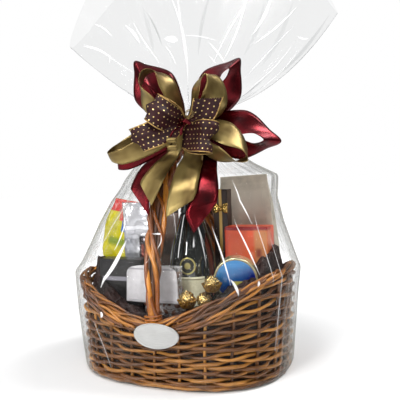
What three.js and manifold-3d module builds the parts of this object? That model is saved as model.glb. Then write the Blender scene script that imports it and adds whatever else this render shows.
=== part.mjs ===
// A gift basket: an oval wicker basket of wrapped food, inside clear film that is
// gathered above the handle, tied, and dressed with a bow of three ribbons.
// Millimetres, +Z up. The origin is on the table under the middle of the basket,
// +X runs along the basket's long side, and the side with the bow faces -Y.

import * as THREE from 'three';
import { mergeVertices } from 'three/addons/utils/BufferGeometryUtils.js';
import Module from 'manifold-3d';

const wasm = await Module();
wasm.setup();

const GAP = 0.3;

// Clear film
const FILM_THICK = 0.8;
const FILM_AROUND = 32;
const NECK = { x: 12, z: 482, radius: 20 };
// The opened top: its middle stands up, and its sides sweep out and then bend upwards
const FLARE = {
  height: 318, depth: 40, rise: 0.2, pleats: 4, ripple: 3, wave: 12,
  left: { reach: 258, height: 182, bend: 1.4 },
  right: { reach: 275, height: 153, bend: 2.6 },
};

// Basket: outer half sizes at the table and at the height of the rim's ends
const FOOT = { x: 198, y: 157 };
const MOUTH = { x: 212, y: 156 };
const WALL_TOP = 188;
const ROUNDNESS = 2.5;
const RIM_LOW = 110;
const RIM_HIGH = { left: 182, right: 194 };
const RIM_RISE = 1.25;
const WALL = 10;
const FLOOR = 8;
const STAKES = 24;
const WEAVE_ROWS = 8;
const WEAVE_DEPTH = 1.5;
// How far the wall's top stays under the middle of the border
const RIM_SEAT = 13;
const BORDER = { radius: 10, lobes: 3, turns: 20, steps: 60, inset: 5 };

// Handle: half an ellipse that stands on the border, front to back
const HANDLE = {
  halfSpan: 150, top: 425, halfWide: 18, halfThick: 10, footHalfWide: 14, rods: 5, turns: 1.6,
};

// Packs
const BOTTLE = { x: 24, y: -25, z: 40, radius: 44, shoulder: 162, neck: 15, foil: 260, height: 322 };
const BOTTLE_FACES = 11;
const TIN = { radius: 39.5, thick: 24, x: 130, y: -62, z: 182, faces: 15, leans: 8 };
const SWEET_RADIUS = 14;
const CUP_RADIUS = 17.2;

const COLOURS = {
  film: 0xe8eef0, wicker: 0x9c5f2e, rod: 0xa8662c, tag: 0xd8d8d4,
  burgundy: 0x8c1626, gold: 0xb89b52, dotted: 0x4a1418, tissue: 0x3c2426,
  yellow: 0xd2c414, silver: 0xcfcfd2, charcoal: 0x34302f, clear: 0x6a5648,
  paper: 0xdadad8, glass: 0x141a14, label: 0xc6c0a0, brassy: 0xc2ae5c,
  brown: 0x5a3f38, grey: 0x565655, chocolate: 0x3a2212, kraft: 0xa59c8c,
  orange: 0xd2542c, blue: 0x1f56a8, foil: 0xd9b860, crimped: 0x8a6a34, capsule: 0x1c1c1c,
};

// Small helpers

const v = (x, y, z) => new THREE.Vector3(x, y, z);
const deg = (angle) => (angle * Math.PI) / 180;
const mix = (a, b, t) => a + (b - a) * t;
const signedPower = (value, power) => Math.sign(value) * Math.abs(value) ** power;

function finish(color, roughness = 0.6, metalness = 0) {
  return new THREE.MeshStandardMaterial({ color, roughness, metalness });
}

function piece(name, geometry, material) {
  const mesh = new THREE.Mesh(geometry, material);
  mesh.name = name;
  return mesh;
}

// A closed mesh from points and triangles, turned so that its faces point out.
function closedMesh(points, triangles) {
  let volume = 0;
  for (const [a, b, c] of triangles) {
    volume += points[a].dot(points[b].clone().cross(points[c]));
  }
  const order = volume < 0 ? triangles.map(([a, b, c]) => [a, c, b]) : triangles;
  const geometry = new THREE.BufferGeometry();
  geometry.setAttribute(
    'position',
    new THREE.Float32BufferAttribute(points.flatMap((p) => [p.x, p.y, p.z]), 3),
  );
  geometry.setIndex(order.flat());
  return geometry;
}

// A skin over a row of rings with equal numbers of points. It is shut by a fan of
// faces at each end, or runs back into its first ring when it is an endless tube.
// Where crossed says so, a four-sided face is split along its other diagonal, which
// keeps the two faces of a thin sheet alike.
function loft(rings, { endless = false, crossed = () => false } = {}) {
  const count = rings[0].length;
  const points = rings.flat();
  const triangles = [];
  const strips = endless ? rings.length : rings.length - 1;
  for (let i = 0; i < strips; i += 1) {
    const next = (i + 1) % rings.length;
    for (let j = 0; j < count; j += 1) {
      const k = (j + 1) % count;
      const a = i * count + j;
      const b = i * count + k;
      const c = next * count + k;
      const d = next * count + j;
      if (crossed(i, j)) triangles.push([a, b, d], [b, c, d]);
      else triangles.push([a, b, c], [a, c, d]);
    }
  }
  if (!endless) {
    for (const end of [0, rings.length - 1]) {
      const middle = rings[end].reduce((sum, p) => sum.add(p), v(0, 0, 0)).divideScalar(count);
      points.push(middle);
      for (let j = 0; j < count; j += 1) {
        const a = end * count + j;
        const b = end * count + ((j + 1) % count);
        triangles.push(end === 0 ? [b, a, points.length - 1] : [a, b, points.length - 1]);
      }
    }
  }
  return closedMesh(points, triangles);
}

function bare(geometry) {
  const copy = geometry.clone();
  copy.deleteAttribute('normal');
  copy.deleteAttribute('uv');
  return mergeVertices(copy, 1e-4);
}

function toSolid(geometry) {
  const merged = bare(geometry);
  return new wasm.Manifold(new wasm.Mesh({
    numProp: 3,
    vertProperties: Float32Array.from(merged.attributes.position.array),
    triVerts: Uint32Array.from(merged.index.array),
  }));
}

function fromSolid(solid) {
  const { vertProperties, triVerts } = solid.getMesh();
  const geometry = new THREE.BufferGeometry();
  geometry.setAttribute('position', new THREE.BufferAttribute(Float32Array.from(vertProperties), 3));
  geometry.setIndex(new THREE.BufferAttribute(Uint32Array.from(triVerts), 1));
  return geometry;
}

// The same shape with its surface moved out by a small distance.
function grown(geometry, distance = GAP) {
  const merged = bare(geometry);
  merged.computeVertexNormals();
  const { position, normal } = merged.attributes;
  for (let i = 0; i < position.count; i += 1) {
    position.setXYZ(
      i,
      position.getX(i) + normal.getX(i) * distance,
      position.getY(i) + normal.getY(i) * distance,
      position.getZ(i) + normal.getZ(i) * distance,
    );
  }
  return merged;
}

function largest(solid) {
  return solid.decompose().reduce((best, part) => (part.volume() > best.volume() ? part : best));
}

// What is left of a shape where its neighbours press into it, with a gap to each.
function carve(geometry, neighbours, distance = GAP) {
  let solid = toSolid(geometry);
  for (const other of neighbours) {
    solid = solid.subtract(toSolid(grown(other, distance)));
  }
  return fromSolid(largest(solid));
}

function fuse(geometries) {
  return fromSolid(largest(geometries.map(toSolid).reduce((sum, part) => sum.add(part))));
}

function placed(geometry, { x = 0, y = 0, z = 0, tiltX = 0, tiltY = 0, turn = 0 }) {
  const spin = new THREE.Euler(deg(tiltX), deg(tiltY), deg(turn), 'ZYX');
  const matrix = new THREE.Matrix4().makeRotationFromEuler(spin).setPosition(x, y, z);
  return geometry.clone().applyMatrix4(matrix);
}

// Basket

function ovalPoint(angle, halfX, halfY, power = ROUNDNESS) {
  const x = signedPower(Math.cos(angle), 2 / power) * halfX;
  const y = signedPower(Math.sin(angle), 2 / power) * halfY;
  return [x, y];
}

function rimHeight(x) {
  const end = x < 0 ? RIM_HIGH.left : RIM_HIGH.right;
  return mix(RIM_LOW, end, Math.min(1, Math.abs(x) / MOUTH.x) ** RIM_RISE);
}

function wallPoint(angle, z, inset) {
  const t = z / WALL_TOP;
  const [x, y] = ovalPoint(angle, mix(FOOT.x, MOUTH.x, t) - inset, mix(FOOT.y, MOUTH.y, t) - inset);
  return v(x, y, z);
}

function wallRing(count, heightOf, insetOf) {
  return Array.from({ length: count }, (_, j) => {
    const angle = (j / count) * Math.PI * 2;
    const rim = rimHeight(ovalPoint(angle, MOUTH.x, MOUTH.y)[0]);
    return wallPoint(angle, heightOf(rim), insetOf(j));
  });
}

const BASKET_BASE = FILM_THICK + GAP;

function basketShape() {
  const count = STAKES * 2;
  const rings = [wallRing(count, () => BASKET_BASE, () => 14), wallRing(count, () => BASKET_BASE, () => 2)];
  for (let row = 0; row <= WEAVE_ROWS; row += 1) {
    const t = row / WEAVE_ROWS;
    const swing = row % 2 === 0 ? 1 : -1;
    rings.push(wallRing(
      count,
      (rim) => mix(BASKET_BASE + 4, rim - RIM_SEAT, t),
      (j) => swing * WEAVE_DEPTH * Math.cos((j * Math.PI) / 2),
    ));
  }
  const floorTop = BASKET_BASE + FLOOR;
  for (const t of [0, 0.5, 1]) {
    rings.push(wallRing(count, (rim) => mix(floorTop, rim - RIM_SEAT, 1 - t), () => WALL));
  }
  return loft(rings);
}

// The border's rods wind round each other along the saddle-shaped rim.
function borderShape() {
  const { radius, lobes, turns, steps, inset } = BORDER;
  const sides = lobes * 2;
  const middle = (t) => {
    const angle = t * Math.PI * 2;
    const rim = rimHeight(ovalPoint(angle, MOUTH.x, MOUTH.y)[0]);
    return wallPoint(angle, rim, inset);
  };
  const rings = [];
  for (let i = 0; i < steps; i += 1) {
    const t = i / steps;
    const along = middle(t + 0.001).sub(middle(t - 0.001)).normalize();
    const out = along.clone().cross(v(0, 0, 1)).normalize();
    const up = out.clone().cross(along);
    rings.push(Array.from({ length: sides }, (_, j) => {
      const angle = (j / sides) * Math.PI * 2;
      const swell = 1 + 0.14 * Math.cos(lobes * angle - turns * lobes * t * Math.PI * 2 / 3);
      return middle(t)
        .addScaledVector(out, Math.cos(angle) * radius * swell)
        .addScaledVector(up, Math.sin(angle) * radius * swell);
    }));
  }
  return loft(rings, { endless: true });
}

// The handle's rods lie side by side and wind slowly round the arch.
function handleShape() {
  const steps = 30;
  const sides = HANDLE.rods * 2;
  const rise = HANDLE.top - RIM_LOW;
  const rings = [];
  for (let i = 0; i <= steps; i += 1) {
    const t = i / steps;
    const angle = Math.PI * (1 + t);
    const y = Math.cos(angle) * HANDLE.halfSpan;
    const z = RIM_LOW - Math.sin(angle) * rise;
    const out = v(0, Math.cos(angle) * rise, -Math.sin(angle) * HANDLE.halfSpan).normalize();
    const ends = Math.min(1, Math.min(t, 1 - t) / 0.14);
    const halfWide = mix(HANDLE.footHalfWide, HANDLE.halfWide, ends);
    rings.push(Array.from({ length: sides }, (_, j) => {
      const a = ((j + HANDLE.turns * 2 * Math.PI * t) / sides) * Math.PI * 2;
      const swell = j % 2 === 0 ? 1.06 : 0.9;
      return v(Math.cos(a) * halfWide * swell, y, z)
        .addScaledVector(out, Math.sin(a) * HANDLE.halfThick * swell);
    }));
  }
  return loft(rings);
}

function tagShape() {
  const ring = (halfX, halfZ, y) => Array.from({ length: 22 }, (_, j) => {
    const a = (j / 22) * Math.PI * 2;
    return v(Math.cos(a) * halfX, y, Math.sin(a) * halfZ);
  });
  return loft([ring(44, 22, 1.2), ring(44.5, 22.5, -0.6), ring(43, 21, -1.4), ring(41, 19, -0.7)]);
}

// Film

// Half widths of the film's section at each height: left, right, front and back.
const FILM_STATIONS = [
  { z: 14, left: 211, right: 210, front: 170, back: 168 },
  { z: 120, left: 223, right: 220, front: 173, back: 171 },
  { z: 190, left: 228, right: 228, front: 167, back: 169 },
  { z: 280, left: 187, right: 208, front: 142, back: 145 },
  { z: 325, left: 156, right: 203, front: 125, back: 134 },
  { z: 368, left: 122, right: 196, front: 104, back: 122 },
  { z: 390, left: 100, right: 148, front: 88, back: 98 },
  { z: 415, left: 76, right: 104, front: 68, back: 74 },
  { z: 442, left: 52, right: 62, front: 47, back: 50 },
  { z: 464, left: 31, right: 34, front: 29, back: 30 },
];

const neckShift = (z) => NECK.x * THREE.MathUtils.smoothstep(z, 380, NECK.z);

function filmHalves(z) {
  const last = FILM_STATIONS.length - 1;
  const i = Math.max(0, Math.min(last - 1, FILM_STATIONS.findIndex((s) => s.z > z) - 1));
  const a = FILM_STATIONS[i];
  const b = FILM_STATIONS[i + 1];
  const t = (z - a.z) / (b.z - a.z);
  const halves = {};
  for (const side of ['left', 'right', 'front', 'back']) halves[side] = mix(a[side], b[side], t);
  return halves;
}

function filmPoint(angle, { z, left, right, front, back }) {
  const power = z > 300 ? mix(ROUNDNESS, 2, (z - 300) / (NECK.z - 300)) : ROUNDNESS;
  const [cx, cy] = ovalPoint(angle, 1, 1, power);
  return v(neckShift(z) + cx * (cx > 0 ? right : left), cy * (cy > 0 ? back : front), z);
}

// How far forward the film is at a place on its front.
function filmFront(x, z) {
  const { left, right, front } = filmHalves(z);
  const reach = Math.min(1, Math.abs(x - neckShift(z)) / (x > neckShift(z) ? right : left));
  return -front * (1 - reach ** ROUNDNESS) ** (1 / ROUNDNESS);
}

function filmShape() {
  const angles = Array.from({ length: FILM_AROUND }, (_, j) => (j / FILM_AROUND) * Math.PI * 2);
  const half = FILM_THICK / 2;
  const rows = [
    { flat: true, points: angles.map((a) => v(...ovalPoint(a, FOOT.x * 0.5, FOOT.y * 0.5), half)) },
    { flat: true, points: angles.map((a) => v(...ovalPoint(a, FOOT.x + 2, FOOT.y + 2), half)) },
  ];
  for (const station of FILM_STATIONS) {
    rows.push({ points: angles.map((a) => filmPoint(a, station)) });
  }
  const neckPoint = (a, z) => v(NECK.x + Math.cos(a) * NECK.radius, Math.sin(a) * NECK.radius, z);
  rows.push({ points: angles.map((a) => neckPoint(a, NECK.z - 6)) });
  rows.push({ points: angles.map((a) => neckPoint(a, NECK.z + 6)) });
  for (const s of [0.13, 0.4, 0.7, 1]) {
    rows.push({ points: angles.map((a) => {
      const side = Math.cos(a) < 0 ? FLARE.left : FLARE.right;
      const share = Math.abs(Math.cos(a));
      const height = mix(FLARE.height, side.height, share ** 4) + FLARE.wave * Math.cos(3 * a + 0.6);
      const bend = mix(1, side.bend, share * share);
      const p = neckPoint(a, NECK.z + 6);
      p.x += side.reach * Math.cos(a) * s;
      p.y += FLARE.depth * Math.sin(a) * s + FLARE.ripple * s * s * Math.cos(FLARE.pleats * a);
      p.z += height * (FLARE.rise * s + (1 - FLARE.rise) * s ** bend);
      return p;
    }) });
  }
  const outer = [];
  const inner = [];
  rows.forEach((row, i) => {
    const before = rows[Math.max(0, i - 1)].points;
    const after = rows[Math.min(rows.length - 1, i + 1)].points;
    const count = FILM_AROUND;
    const out = [];
    const into = [];
    row.points.forEach((p, j) => {
      const around = row.points[(j + 1) % count].clone().sub(row.points[(j + count - 1) % count]);
      const upward = after[j].clone().sub(before[j]);
      const normal = row.flat ? v(0, 0, -1) : around.cross(upward).normalize();
      out.push(p.clone().addScaledVector(normal, half));
      into.push(p.clone().addScaledVector(normal, -half));
    });
    outer.push(out);
    inner.push(into);
  });
  return loft([...outer, ...inner.reverse()], { crossed: (i) => i >= outer.length });
}

// A band round the neck with a tongue that reaches forward to the bow.
function tieShape() {
  const inner = NECK.radius + 1.6;
  const profile = [
    new THREE.Vector2(inner, -5), new THREE.Vector2(inner + 3, -4), new THREE.Vector2(inner + 4, 0),
    new THREE.Vector2(inner + 3, 4), new THREE.Vector2(inner, 5), new THREE.Vector2(inner, -5),
  ];
  const band = placed(new THREE.LatheGeometry(profile, 16), { x: NECK.x, z: NECK.z, tiltX: 90 });
  const reach = HUBS.burgundy.front - HUBS.burgundy.thick / 2 - GAP - inner;
  const root = bowPoint(0, NECK.z - BOW.z, inner + reach / 2 + 1);
  const at = { x: root.x, y: root.y, z: root.z, turn: BOW.turn };
  const tongue = placed(new THREE.BoxGeometry(12, reach - 2, 6), at);
  return fuse([band, tongue]);
}

// Ribbons

const RIBBON_THICK = 1.6;
const BOW = { turn: 21, z: 470 };
const HUBS = {
  burgundy: { front: 59, thick: 18, radius: 15 },
  gold: { front: 84.3, thick: 32, radius: 14 },
  dotted: { front: 115.6, thick: 30, radius: 10 },
};

// The bow has a frame of its own, turned round the neck of the film: a place is given
// by how far it is to the side, how far up, and how far in front of the neck.
function bowPoint(aside, up, front) {
  const turn = deg(BOW.turn);
  return v(
    NECK.x + aside * Math.cos(turn) + front * Math.sin(turn),
    aside * Math.sin(turn) - front * Math.cos(turn),
    BOW.z + up,
  );
}

// A strip of ribbon through stations, each with its middle and half of its width.
function strip(stations, steps) {
  const middle = new THREE.CatmullRomCurve3(stations.map((s) => s.at));
  const across = new THREE.CatmullRomCurve3(stations.map((s) => s.half));
  const rings = [];
  for (let i = 0; i <= steps; i += 1) {
    const t = i / steps;
    const p = middle.getPoint(t);
    const h = across.getPoint(t);
    const along = middle.getTangent(t);
    const normal = along.cross(h).normalize().multiplyScalar(RIBBON_THICK / 2);
    rings.push([
      p.clone().add(h).add(normal), p.clone().sub(h).add(normal),
      p.clone().sub(h).sub(normal), p.clone().add(h).sub(normal),
    ]);
  }
  return loft(rings, { crossed: (i, j) => j === 2 });
}

// How far along a loop its stations lie, and how wide each rim is open there: a rim
// is a full teardrop, or one that only opens towards the tip.
const LOOP_STATIONS = [
  { along: 0, full: 0.1, late: 0.1 },
  { along: 0.28, full: 0.72, late: 0.2 },
  { along: 0.6, full: 1, late: 0.65 },
];

// A loop leaves the hub, turns at its tip and comes back, so its ribbon has two rims.
// Each rim is drawn in the plane of the bow: its reach at the tip, half of the space
// between the loop's two layers, a shift to the side, a lean of the tip, and how far
// it stands in front of the loop's middle. Bulge puts one layer before the other.
function ribbonLoop({ hub, angle, from = [0, 0], front, rims, bulge = 0, round = 0.6, pinch = 0.3 }) {
  const c = Math.cos(deg(angle));
  const s = Math.sin(deg(angle));
  const rimPoint = (rim, along, open, layer) => {
    const spread = mix(pinch, 1, THREE.MathUtils.smoothstep(along, 0, 0.35));
    const r = rim.reach * along;
    const side = rim.half * open * layer + rim.shift * spread + (rim.lean ?? 0) * along * along;
    const rise = THREE.MathUtils.smoothstep(along, 0, 0.6);
    const lift = mix(hub.front, front, rise) + rim.lift * spread + bulge * layer * rise;
    return bowPoint(from[0] + c * r - s * side, from[1] + s * r + c * side, lift);
  };
  const station = ({ along, full, late }, layer) => {
    const [a, b] = rims.map((rim) => rimPoint(rim, along, rim.opensLate ? late : full, layer));
    return { at: a.clone().lerp(b, 0.5), half: a.clone().sub(b).multiplyScalar(0.5) };
  };
  const legs = [...LOOP_STATIONS, { along: 0.88, full: round, late: Math.max(round, 0.8) }];
  return strip([
    ...legs.map((place) => station(place, -1)),
    station({ along: 1, full: 0, late: 0 }, 0),
    ...legs.reverse().map((place) => station(place, 1)),
  ], 16);
}

// A tail hangs from the hub in front of the film, at the places given across and up.
function ribbonTail({ hub, route, clear }) {
  const top = bowPoint(0, -6, hub.front);
  const stations = route.map(({ x, z, halfX, halfZ = 0, out = 0 }) => {
    const y = Math.min(top.y, filmFront(x, z) - clear) - out;
    return { at: v(x, y, z), half: v(halfX, 0, halfZ) };
  });
  return strip([{ at: top, half: v(7, 0, 0) }, ...stations], 12);
}

function hubShape({ front, radius, thick }) {
  const half = thick / 2;
  const profile = [
    new THREE.Vector2(0, -half), new THREE.Vector2(radius * 0.8, -half), new THREE.Vector2(radius, 0),
    new THREE.Vector2(radius * 0.8, half), new THREE.Vector2(0, half),
  ];
  const { x, y, z } = bowPoint(0, 0, front);
  return placed(new THREE.LatheGeometry(profile, 10), { x, y, z, turn: BOW.turn });
}

function burgundyShape() {
  const hub = HUBS.burgundy;
  const ring = (angle, front, far, near) => ribbonLoop({
    hub, angle, front, round: 0.38, rims: [{ lift: -18, ...far }, { lift: 16, opensLate: true, ...near }],
  });
  return fuse([
    hubShape(hub),
    ring(124.5, 70, { reach: 151, half: 43, shift: 8 }, { reach: 122, half: 15, shift: 6 }),
    ring(53.5, 94, { reach: 153, half: 41, shift: -16 }, { reach: 128, half: 16, shift: -10 }),
    ring(-11.5, 95, { reach: 180, half: 45, shift: -6, lift: -12 }, { reach: 146, half: 11, shift: -5 }),
    ribbonLoop({ hub, angle: 208, front: 76, bulge: 8, rims: [
      { reach: 140, half: 6, shift: -6, lift: 5 }, { reach: 152, half: 10, shift: 28, lean: -16, lift: -5 },
    ] }),
    ribbonTail({ hub, clear: 12, route: [
      { x: 76, z: 410, halfX: 16 }, { x: 90, z: 376, halfX: 21 }, { x: 96, z: 345, halfX: 23, out: 3 },
      { x: 95, z: 324, halfX: 23, halfZ: 2, out: 2 }, { x: 92, z: 313, halfX: 24, halfZ: 9 },
      { x: 95, z: 292, halfX: 13, halfZ: 20 },
    ] }),
    ribbonTail({ hub, clear: 11, route: [
      { x: -6, z: 407, halfX: 18, halfZ: -3 }, { x: -22, z: 377, halfX: 24, halfZ: -8, out: 2 },
      { x: -31, z: 343, halfX: 23, halfZ: -10 }, { x: -28, z: 325, halfX: 23, halfZ: -23 },
    ] }),
  ]);
}

function goldShape() {
  const hub = HUBS.gold;
  const ring = (angle, front, far, near) => ribbonLoop({
    hub, angle, front, round: 0.66, rims: [{ lift: -17, ...far }, { lift: 17, opensLate: true, ...near }],
  });
  return fuse([
    hubShape(hub),
    ring(130, 110,
      { reach: 112, half: 38, shift: 8, lean: -14 }, { reach: 112, half: 15, shift: 10, lean: -14 }),
    ring(58.5, 129,
      { reach: 96, half: 32, shift: -24, lean: 12 }, { reach: 92, half: 6, shift: -24, lean: 28 }),
    ring(-31, 131, { reach: 131, half: 35, shift: 0 }, { reach: 130, half: 13, shift: -2 }),
    ribbonLoop({ hub, angle: 204, front: 112, bulge: 13, rims: [
      { reach: 148, half: 9, shift: -11, lean: 5, lift: 6 },
      { reach: 149, half: 15, shift: 26, lean: -20, lift: -6 },
    ] }),
    ribbonTail({ hub, clear: 18, route: [
      { x: 21, z: 416, halfX: 13, halfZ: -2 }, { x: 10, z: 392, halfX: 18, halfZ: -4, out: 6 },
      { x: -1, z: 367, halfX: 21, halfZ: -5, out: 8 }, { x: -10, z: 340, halfX: 15, halfZ: -19, out: 6 },
    ] }),
    ribbonTail({ hub, clear: 20, route: [
      { x: 60, z: 410, halfX: 18, halfZ: -4 }, { x: 62, z: 383, halfX: 22, halfZ: -3, out: 6 },
      { x: 61, z: 353, halfX: 24, halfZ: 1, out: 8 }, { x: 60, z: 328, halfX: 24, halfZ: 12, out: 7 },
      { x: 58, z: 315, halfX: 22, halfZ: 14, out: 4 },
    ] }),
  ]);
}

function dottedShape() {
  const hub = HUBS.dotted;
  const band = (angle, front, upper, lower, rest) => ribbonLoop({
    hub: { front: 124 }, angle, front, bulge: 11, ...rest,
    rims: [{ lift: 0, half: 2, ...upper }, { lift: 0, half: 2, ...lower }],
  });
  const flag = (aside, up, front, half, tilt) => {
    const at = bowPoint(aside, up, front);
    return { at, half: bowPoint(aside + half, up + tilt, front).sub(at) };
  };
  return fuse([
    hubShape(hub),
    band(154, 150,
      { reach: 58, shift: -20, lean: -4 }, { reach: 58, shift: 31, lean: -6 }, { from: [0, -3] }),
    band(199.5, 150, { reach: 92, shift: -20 }, { reach: 80, shift: 26 }, { from: [0, -4] }),
    band(-5, 152, { reach: 61, shift: 26 }, { reach: 53, shift: -28 }, { from: [-2, -30], pinch: 0.7 }),
    strip([flag(2, -4, 128, 8, 0), flag(32, 2, 148, 16, -1), flag(43, 37, 152, 25, 2)], 6),
  ]);
}

// Packs

// A flat-sided bag whose faces swell between its seams.
function pillowBag({ wide, tall, deep, seam = 0.12, rounded = 0 }) {
  const across = 12;
  const up = [0, 0.05, 0.2, 0.5, 0.8, 0.95, 1];
  return loft(up.map((t) => {
    const swell = Math.sin(Math.PI * t) ** 0.55;
    const halfDeep = mix(seam, 1, swell) * (deep / 2);
    const corner = rounded * THREE.MathUtils.smoothstep(Math.abs(2 * t - 1), 0.25, 1.1);
    const halfWide = (wide / 2) * (1 - 0.06 * swell - corner);
    return Array.from({ length: across }, (_, j) => {
      const a = (j / across) * Math.PI * 2;
      const [x, y] = ovalPoint(a, halfWide, halfDeep, mix(8, 2.4, swell));
      return v(x, y, mix(-tall / 2, tall / 2, t));
    });
  }));
}

// A stand-up paper bag: full at the foot, folded to a thin edge at the top.
function foldedBag({ wide, topWide, tall, deep, edge }) {
  return loft([0, 0.03, 0.35, 0.62, 0.85, 0.97, 1].map((t) => {
    const halfWide = mix(wide, topWide, t) / 2;
    const halfDeep = mix(deep, edge, THREE.MathUtils.smoothstep(t, 0.25, 0.97)) / 2;
    return [
      v(halfWide, 0, t * tall), v(halfWide * 0.96, halfDeep, t * tall), v(0, halfDeep * 1.04, t * tall),
      v(-halfWide * 0.96, halfDeep, t * tall), v(-halfWide, 0, t * tall),
      v(-halfWide * 0.96, -halfDeep, t * tall), v(0, -halfDeep * 1.04, t * tall),
      v(halfWide * 0.96, -halfDeep, t * tall),
    ];
  }));
}

// A carton with narrow bevels at its ends.
function carton({ wide, deep, tall, bevel = 1.5 }) {
  const ring = (inset, z) => [
    v(wide / 2 - inset, deep / 2 - inset, z), v(-wide / 2 + inset, deep / 2 - inset, z),
    v(-wide / 2 + inset, -deep / 2 + inset, z), v(wide / 2 - inset, -deep / 2 + inset, z),
  ];
  return loft([ring(bevel, 0), ring(0, bevel), ring(0, tall - bevel), ring(bevel, tall)]);
}

// A small bow of gold foil: two flared loops that meet in a knot.
function foilBow() {
  const section = ({ x, half, thick }) => [
    v(x, 0, half), v(x, 0, -half), v(x, -thick, -half * 0.8), v(x, -thick, half * 0.8),
  ];
  return loft([
    { x: -15, half: 10, thick: 4 }, { x: -8, half: 9, thick: 9 }, { x: -2.5, half: 3.5, thick: 6 },
    { x: 2.5, half: 3.5, thick: 6 }, { x: 8, half: 9, thick: 9 }, { x: 15, half: 10, thick: 4 },
  ].map(section));
}

function turned(profile, segments, place) {
  const points = profile.map(([r, z]) => new THREE.Vector2(r, z));
  return placed(new THREE.LatheGeometry(points, segments), { tiltX: 90, ...place });
}

function bottleProfile() {
  const { radius, shoulder, neck, foil, height } = BOTTLE;
  return {
    glass: [
      [0, 0], [radius - 5, 0], [radius, 6], [radius, shoulder], [radius - 2, shoulder + 18],
      [radius - 7, shoulder + 42], [radius - 17, shoulder + 76], [neck + 6, foil], [0, foil],
    ],
    foil: [
      [0, foil + GAP], [neck + 5.8, foil + GAP], [neck + 1, height - 42],
      [neck, height - 24], [neck + 3, height - 20], [neck + 3, height - 8], [neck - 1, height - 1],
      [0, height],
    ],
  };
}

// A plate bent round the bottle, as wide as the given angle and from one height to another.
function bentPlate({ from, to, bottom, top, thick, round = false }) {
  const across = 10;
  const { x, y, z, radius } = BOTTLE;
  const rings = [];
  for (let i = 0; i <= across; i += 1) {
    const t = i / across;
    const a = deg(mix(from, to, t) - 90 + BOTTLE_FACES);
    const reach = round ? Math.sqrt(Math.max(0.06, 1 - (2 * t - 1) ** 2)) : 1;
    const middle = (bottom + top) / 2;
    const half = ((top - bottom) / 2) * reach;
    rings.push([[0, -half], [thick, -half], [thick, half], [0, half]].map(([out, up]) => {
      const r = radius + GAP + out;
      return v(x + Math.cos(a) * r, y + Math.sin(a) * r, z + middle + up);
    }));
  }
  return loft(rings);
}

function tinShape() {
  const { radius, thick } = TIN;
  const profile = [
    [0, 0], [radius - 1.5, 0], [radius, 1.5], [radius - 0.8, thick - 10], [radius, thick - 9],
    [radius, thick - 1], [radius - 1.5, thick], [radius - 4, thick - 1], [0, thick - 1],
  ];
  const lying = new THREE.LatheGeometry(profile.map(([r, z]) => new THREE.Vector2(r, z)), 20);
  return placed(placed(lying, { tiltX: 180 + TIN.leans }), { ...TIN, tiltX: 0, turn: TIN.faces });
}

function sweetShape() {
  const ball = new THREE.IcosahedronGeometry(SWEET_RADIUS, 1);
  const { position } = ball.attributes;
  for (let i = 0; i < position.count; i += 1) {
    const p = v(position.getX(i), position.getY(i), position.getZ(i));
    const dent = 1 + 0.03 * Math.sin(p.x * 0.9 + p.z * 0.7) * Math.cos(p.y * 0.8);
    position.setXYZ(i, p.x * dent, p.y * dent, p.z * dent);
  }
  return ball;
}

function cupShape() {
  const folds = 8;
  const ring = (radius, crimp, z) => Array.from({ length: folds * 2 }, (_, j) => {
    const a = (j / (folds * 2)) * Math.PI * 2;
    const r = radius + (j % 2 === 0 ? crimp : -crimp);
    return v(Math.cos(a) * r, Math.sin(a) * r, z);
  });
  const low = -SWEET_RADIUS - 1.6;
  return loft([
    ring(10, 0, low), ring(CUP_RADIUS, 1, -1),
    ring(CUP_RADIUS - 1.4, 1, -1), ring(SWEET_RADIUS - 3, 0, low + 1),
  ]);
}

function tissueCore() {
  const count = 32;
  const top = BASKET_BASE + FLOOR + GAP;
  const lump = (j, t) => 1 + 0.05 * Math.sin(j * 1.9 + t * 7) + 0.04 * Math.cos(j * 3.1 - t * 4);
  const ring = (scale, zOf, ragged) => Array.from({ length: count }, (_, j) => {
    const a = (j / count) * Math.PI * 2;
    const rim = rimHeight(ovalPoint(a, MOUTH.x, MOUTH.y)[0]);
    const z = zOf(rim, Math.abs(Math.cos(a)), j);
    const p = wallPoint(a, Math.min(z, rim), WALL + 1.5);
    const pull = scale * (ragged ? lump(j, scale) : 1);
    return v(p.x * Math.min(1, pull), p.y * Math.min(1, pull), z);
  });
  const crest = (rim, ends, j) => rim + 2 + 38 * ends ** 6 + 8 * Math.sin(j * 2.3);
  return loft([
    ring(0.97, () => top, false),
    ring(1, () => 40, false),
    ring(0.985, (rim) => rim - 22, false),
    ring(0.92, (rim, ends, j) => crest(rim, ends, j) - 4, false),
    ring(0.9, crest, true),
    ring(0.78, (rim, ends, j) => mix(rim, 112, 0.5) + 5 * Math.cos(j * 1.7), true),
    ring(0.45, () => 104, true),
  ]);
}

// Assembly

const border = borderShape();
const handle = carve(handleShape(), [border]);
const wicker = basketShape();

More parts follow.
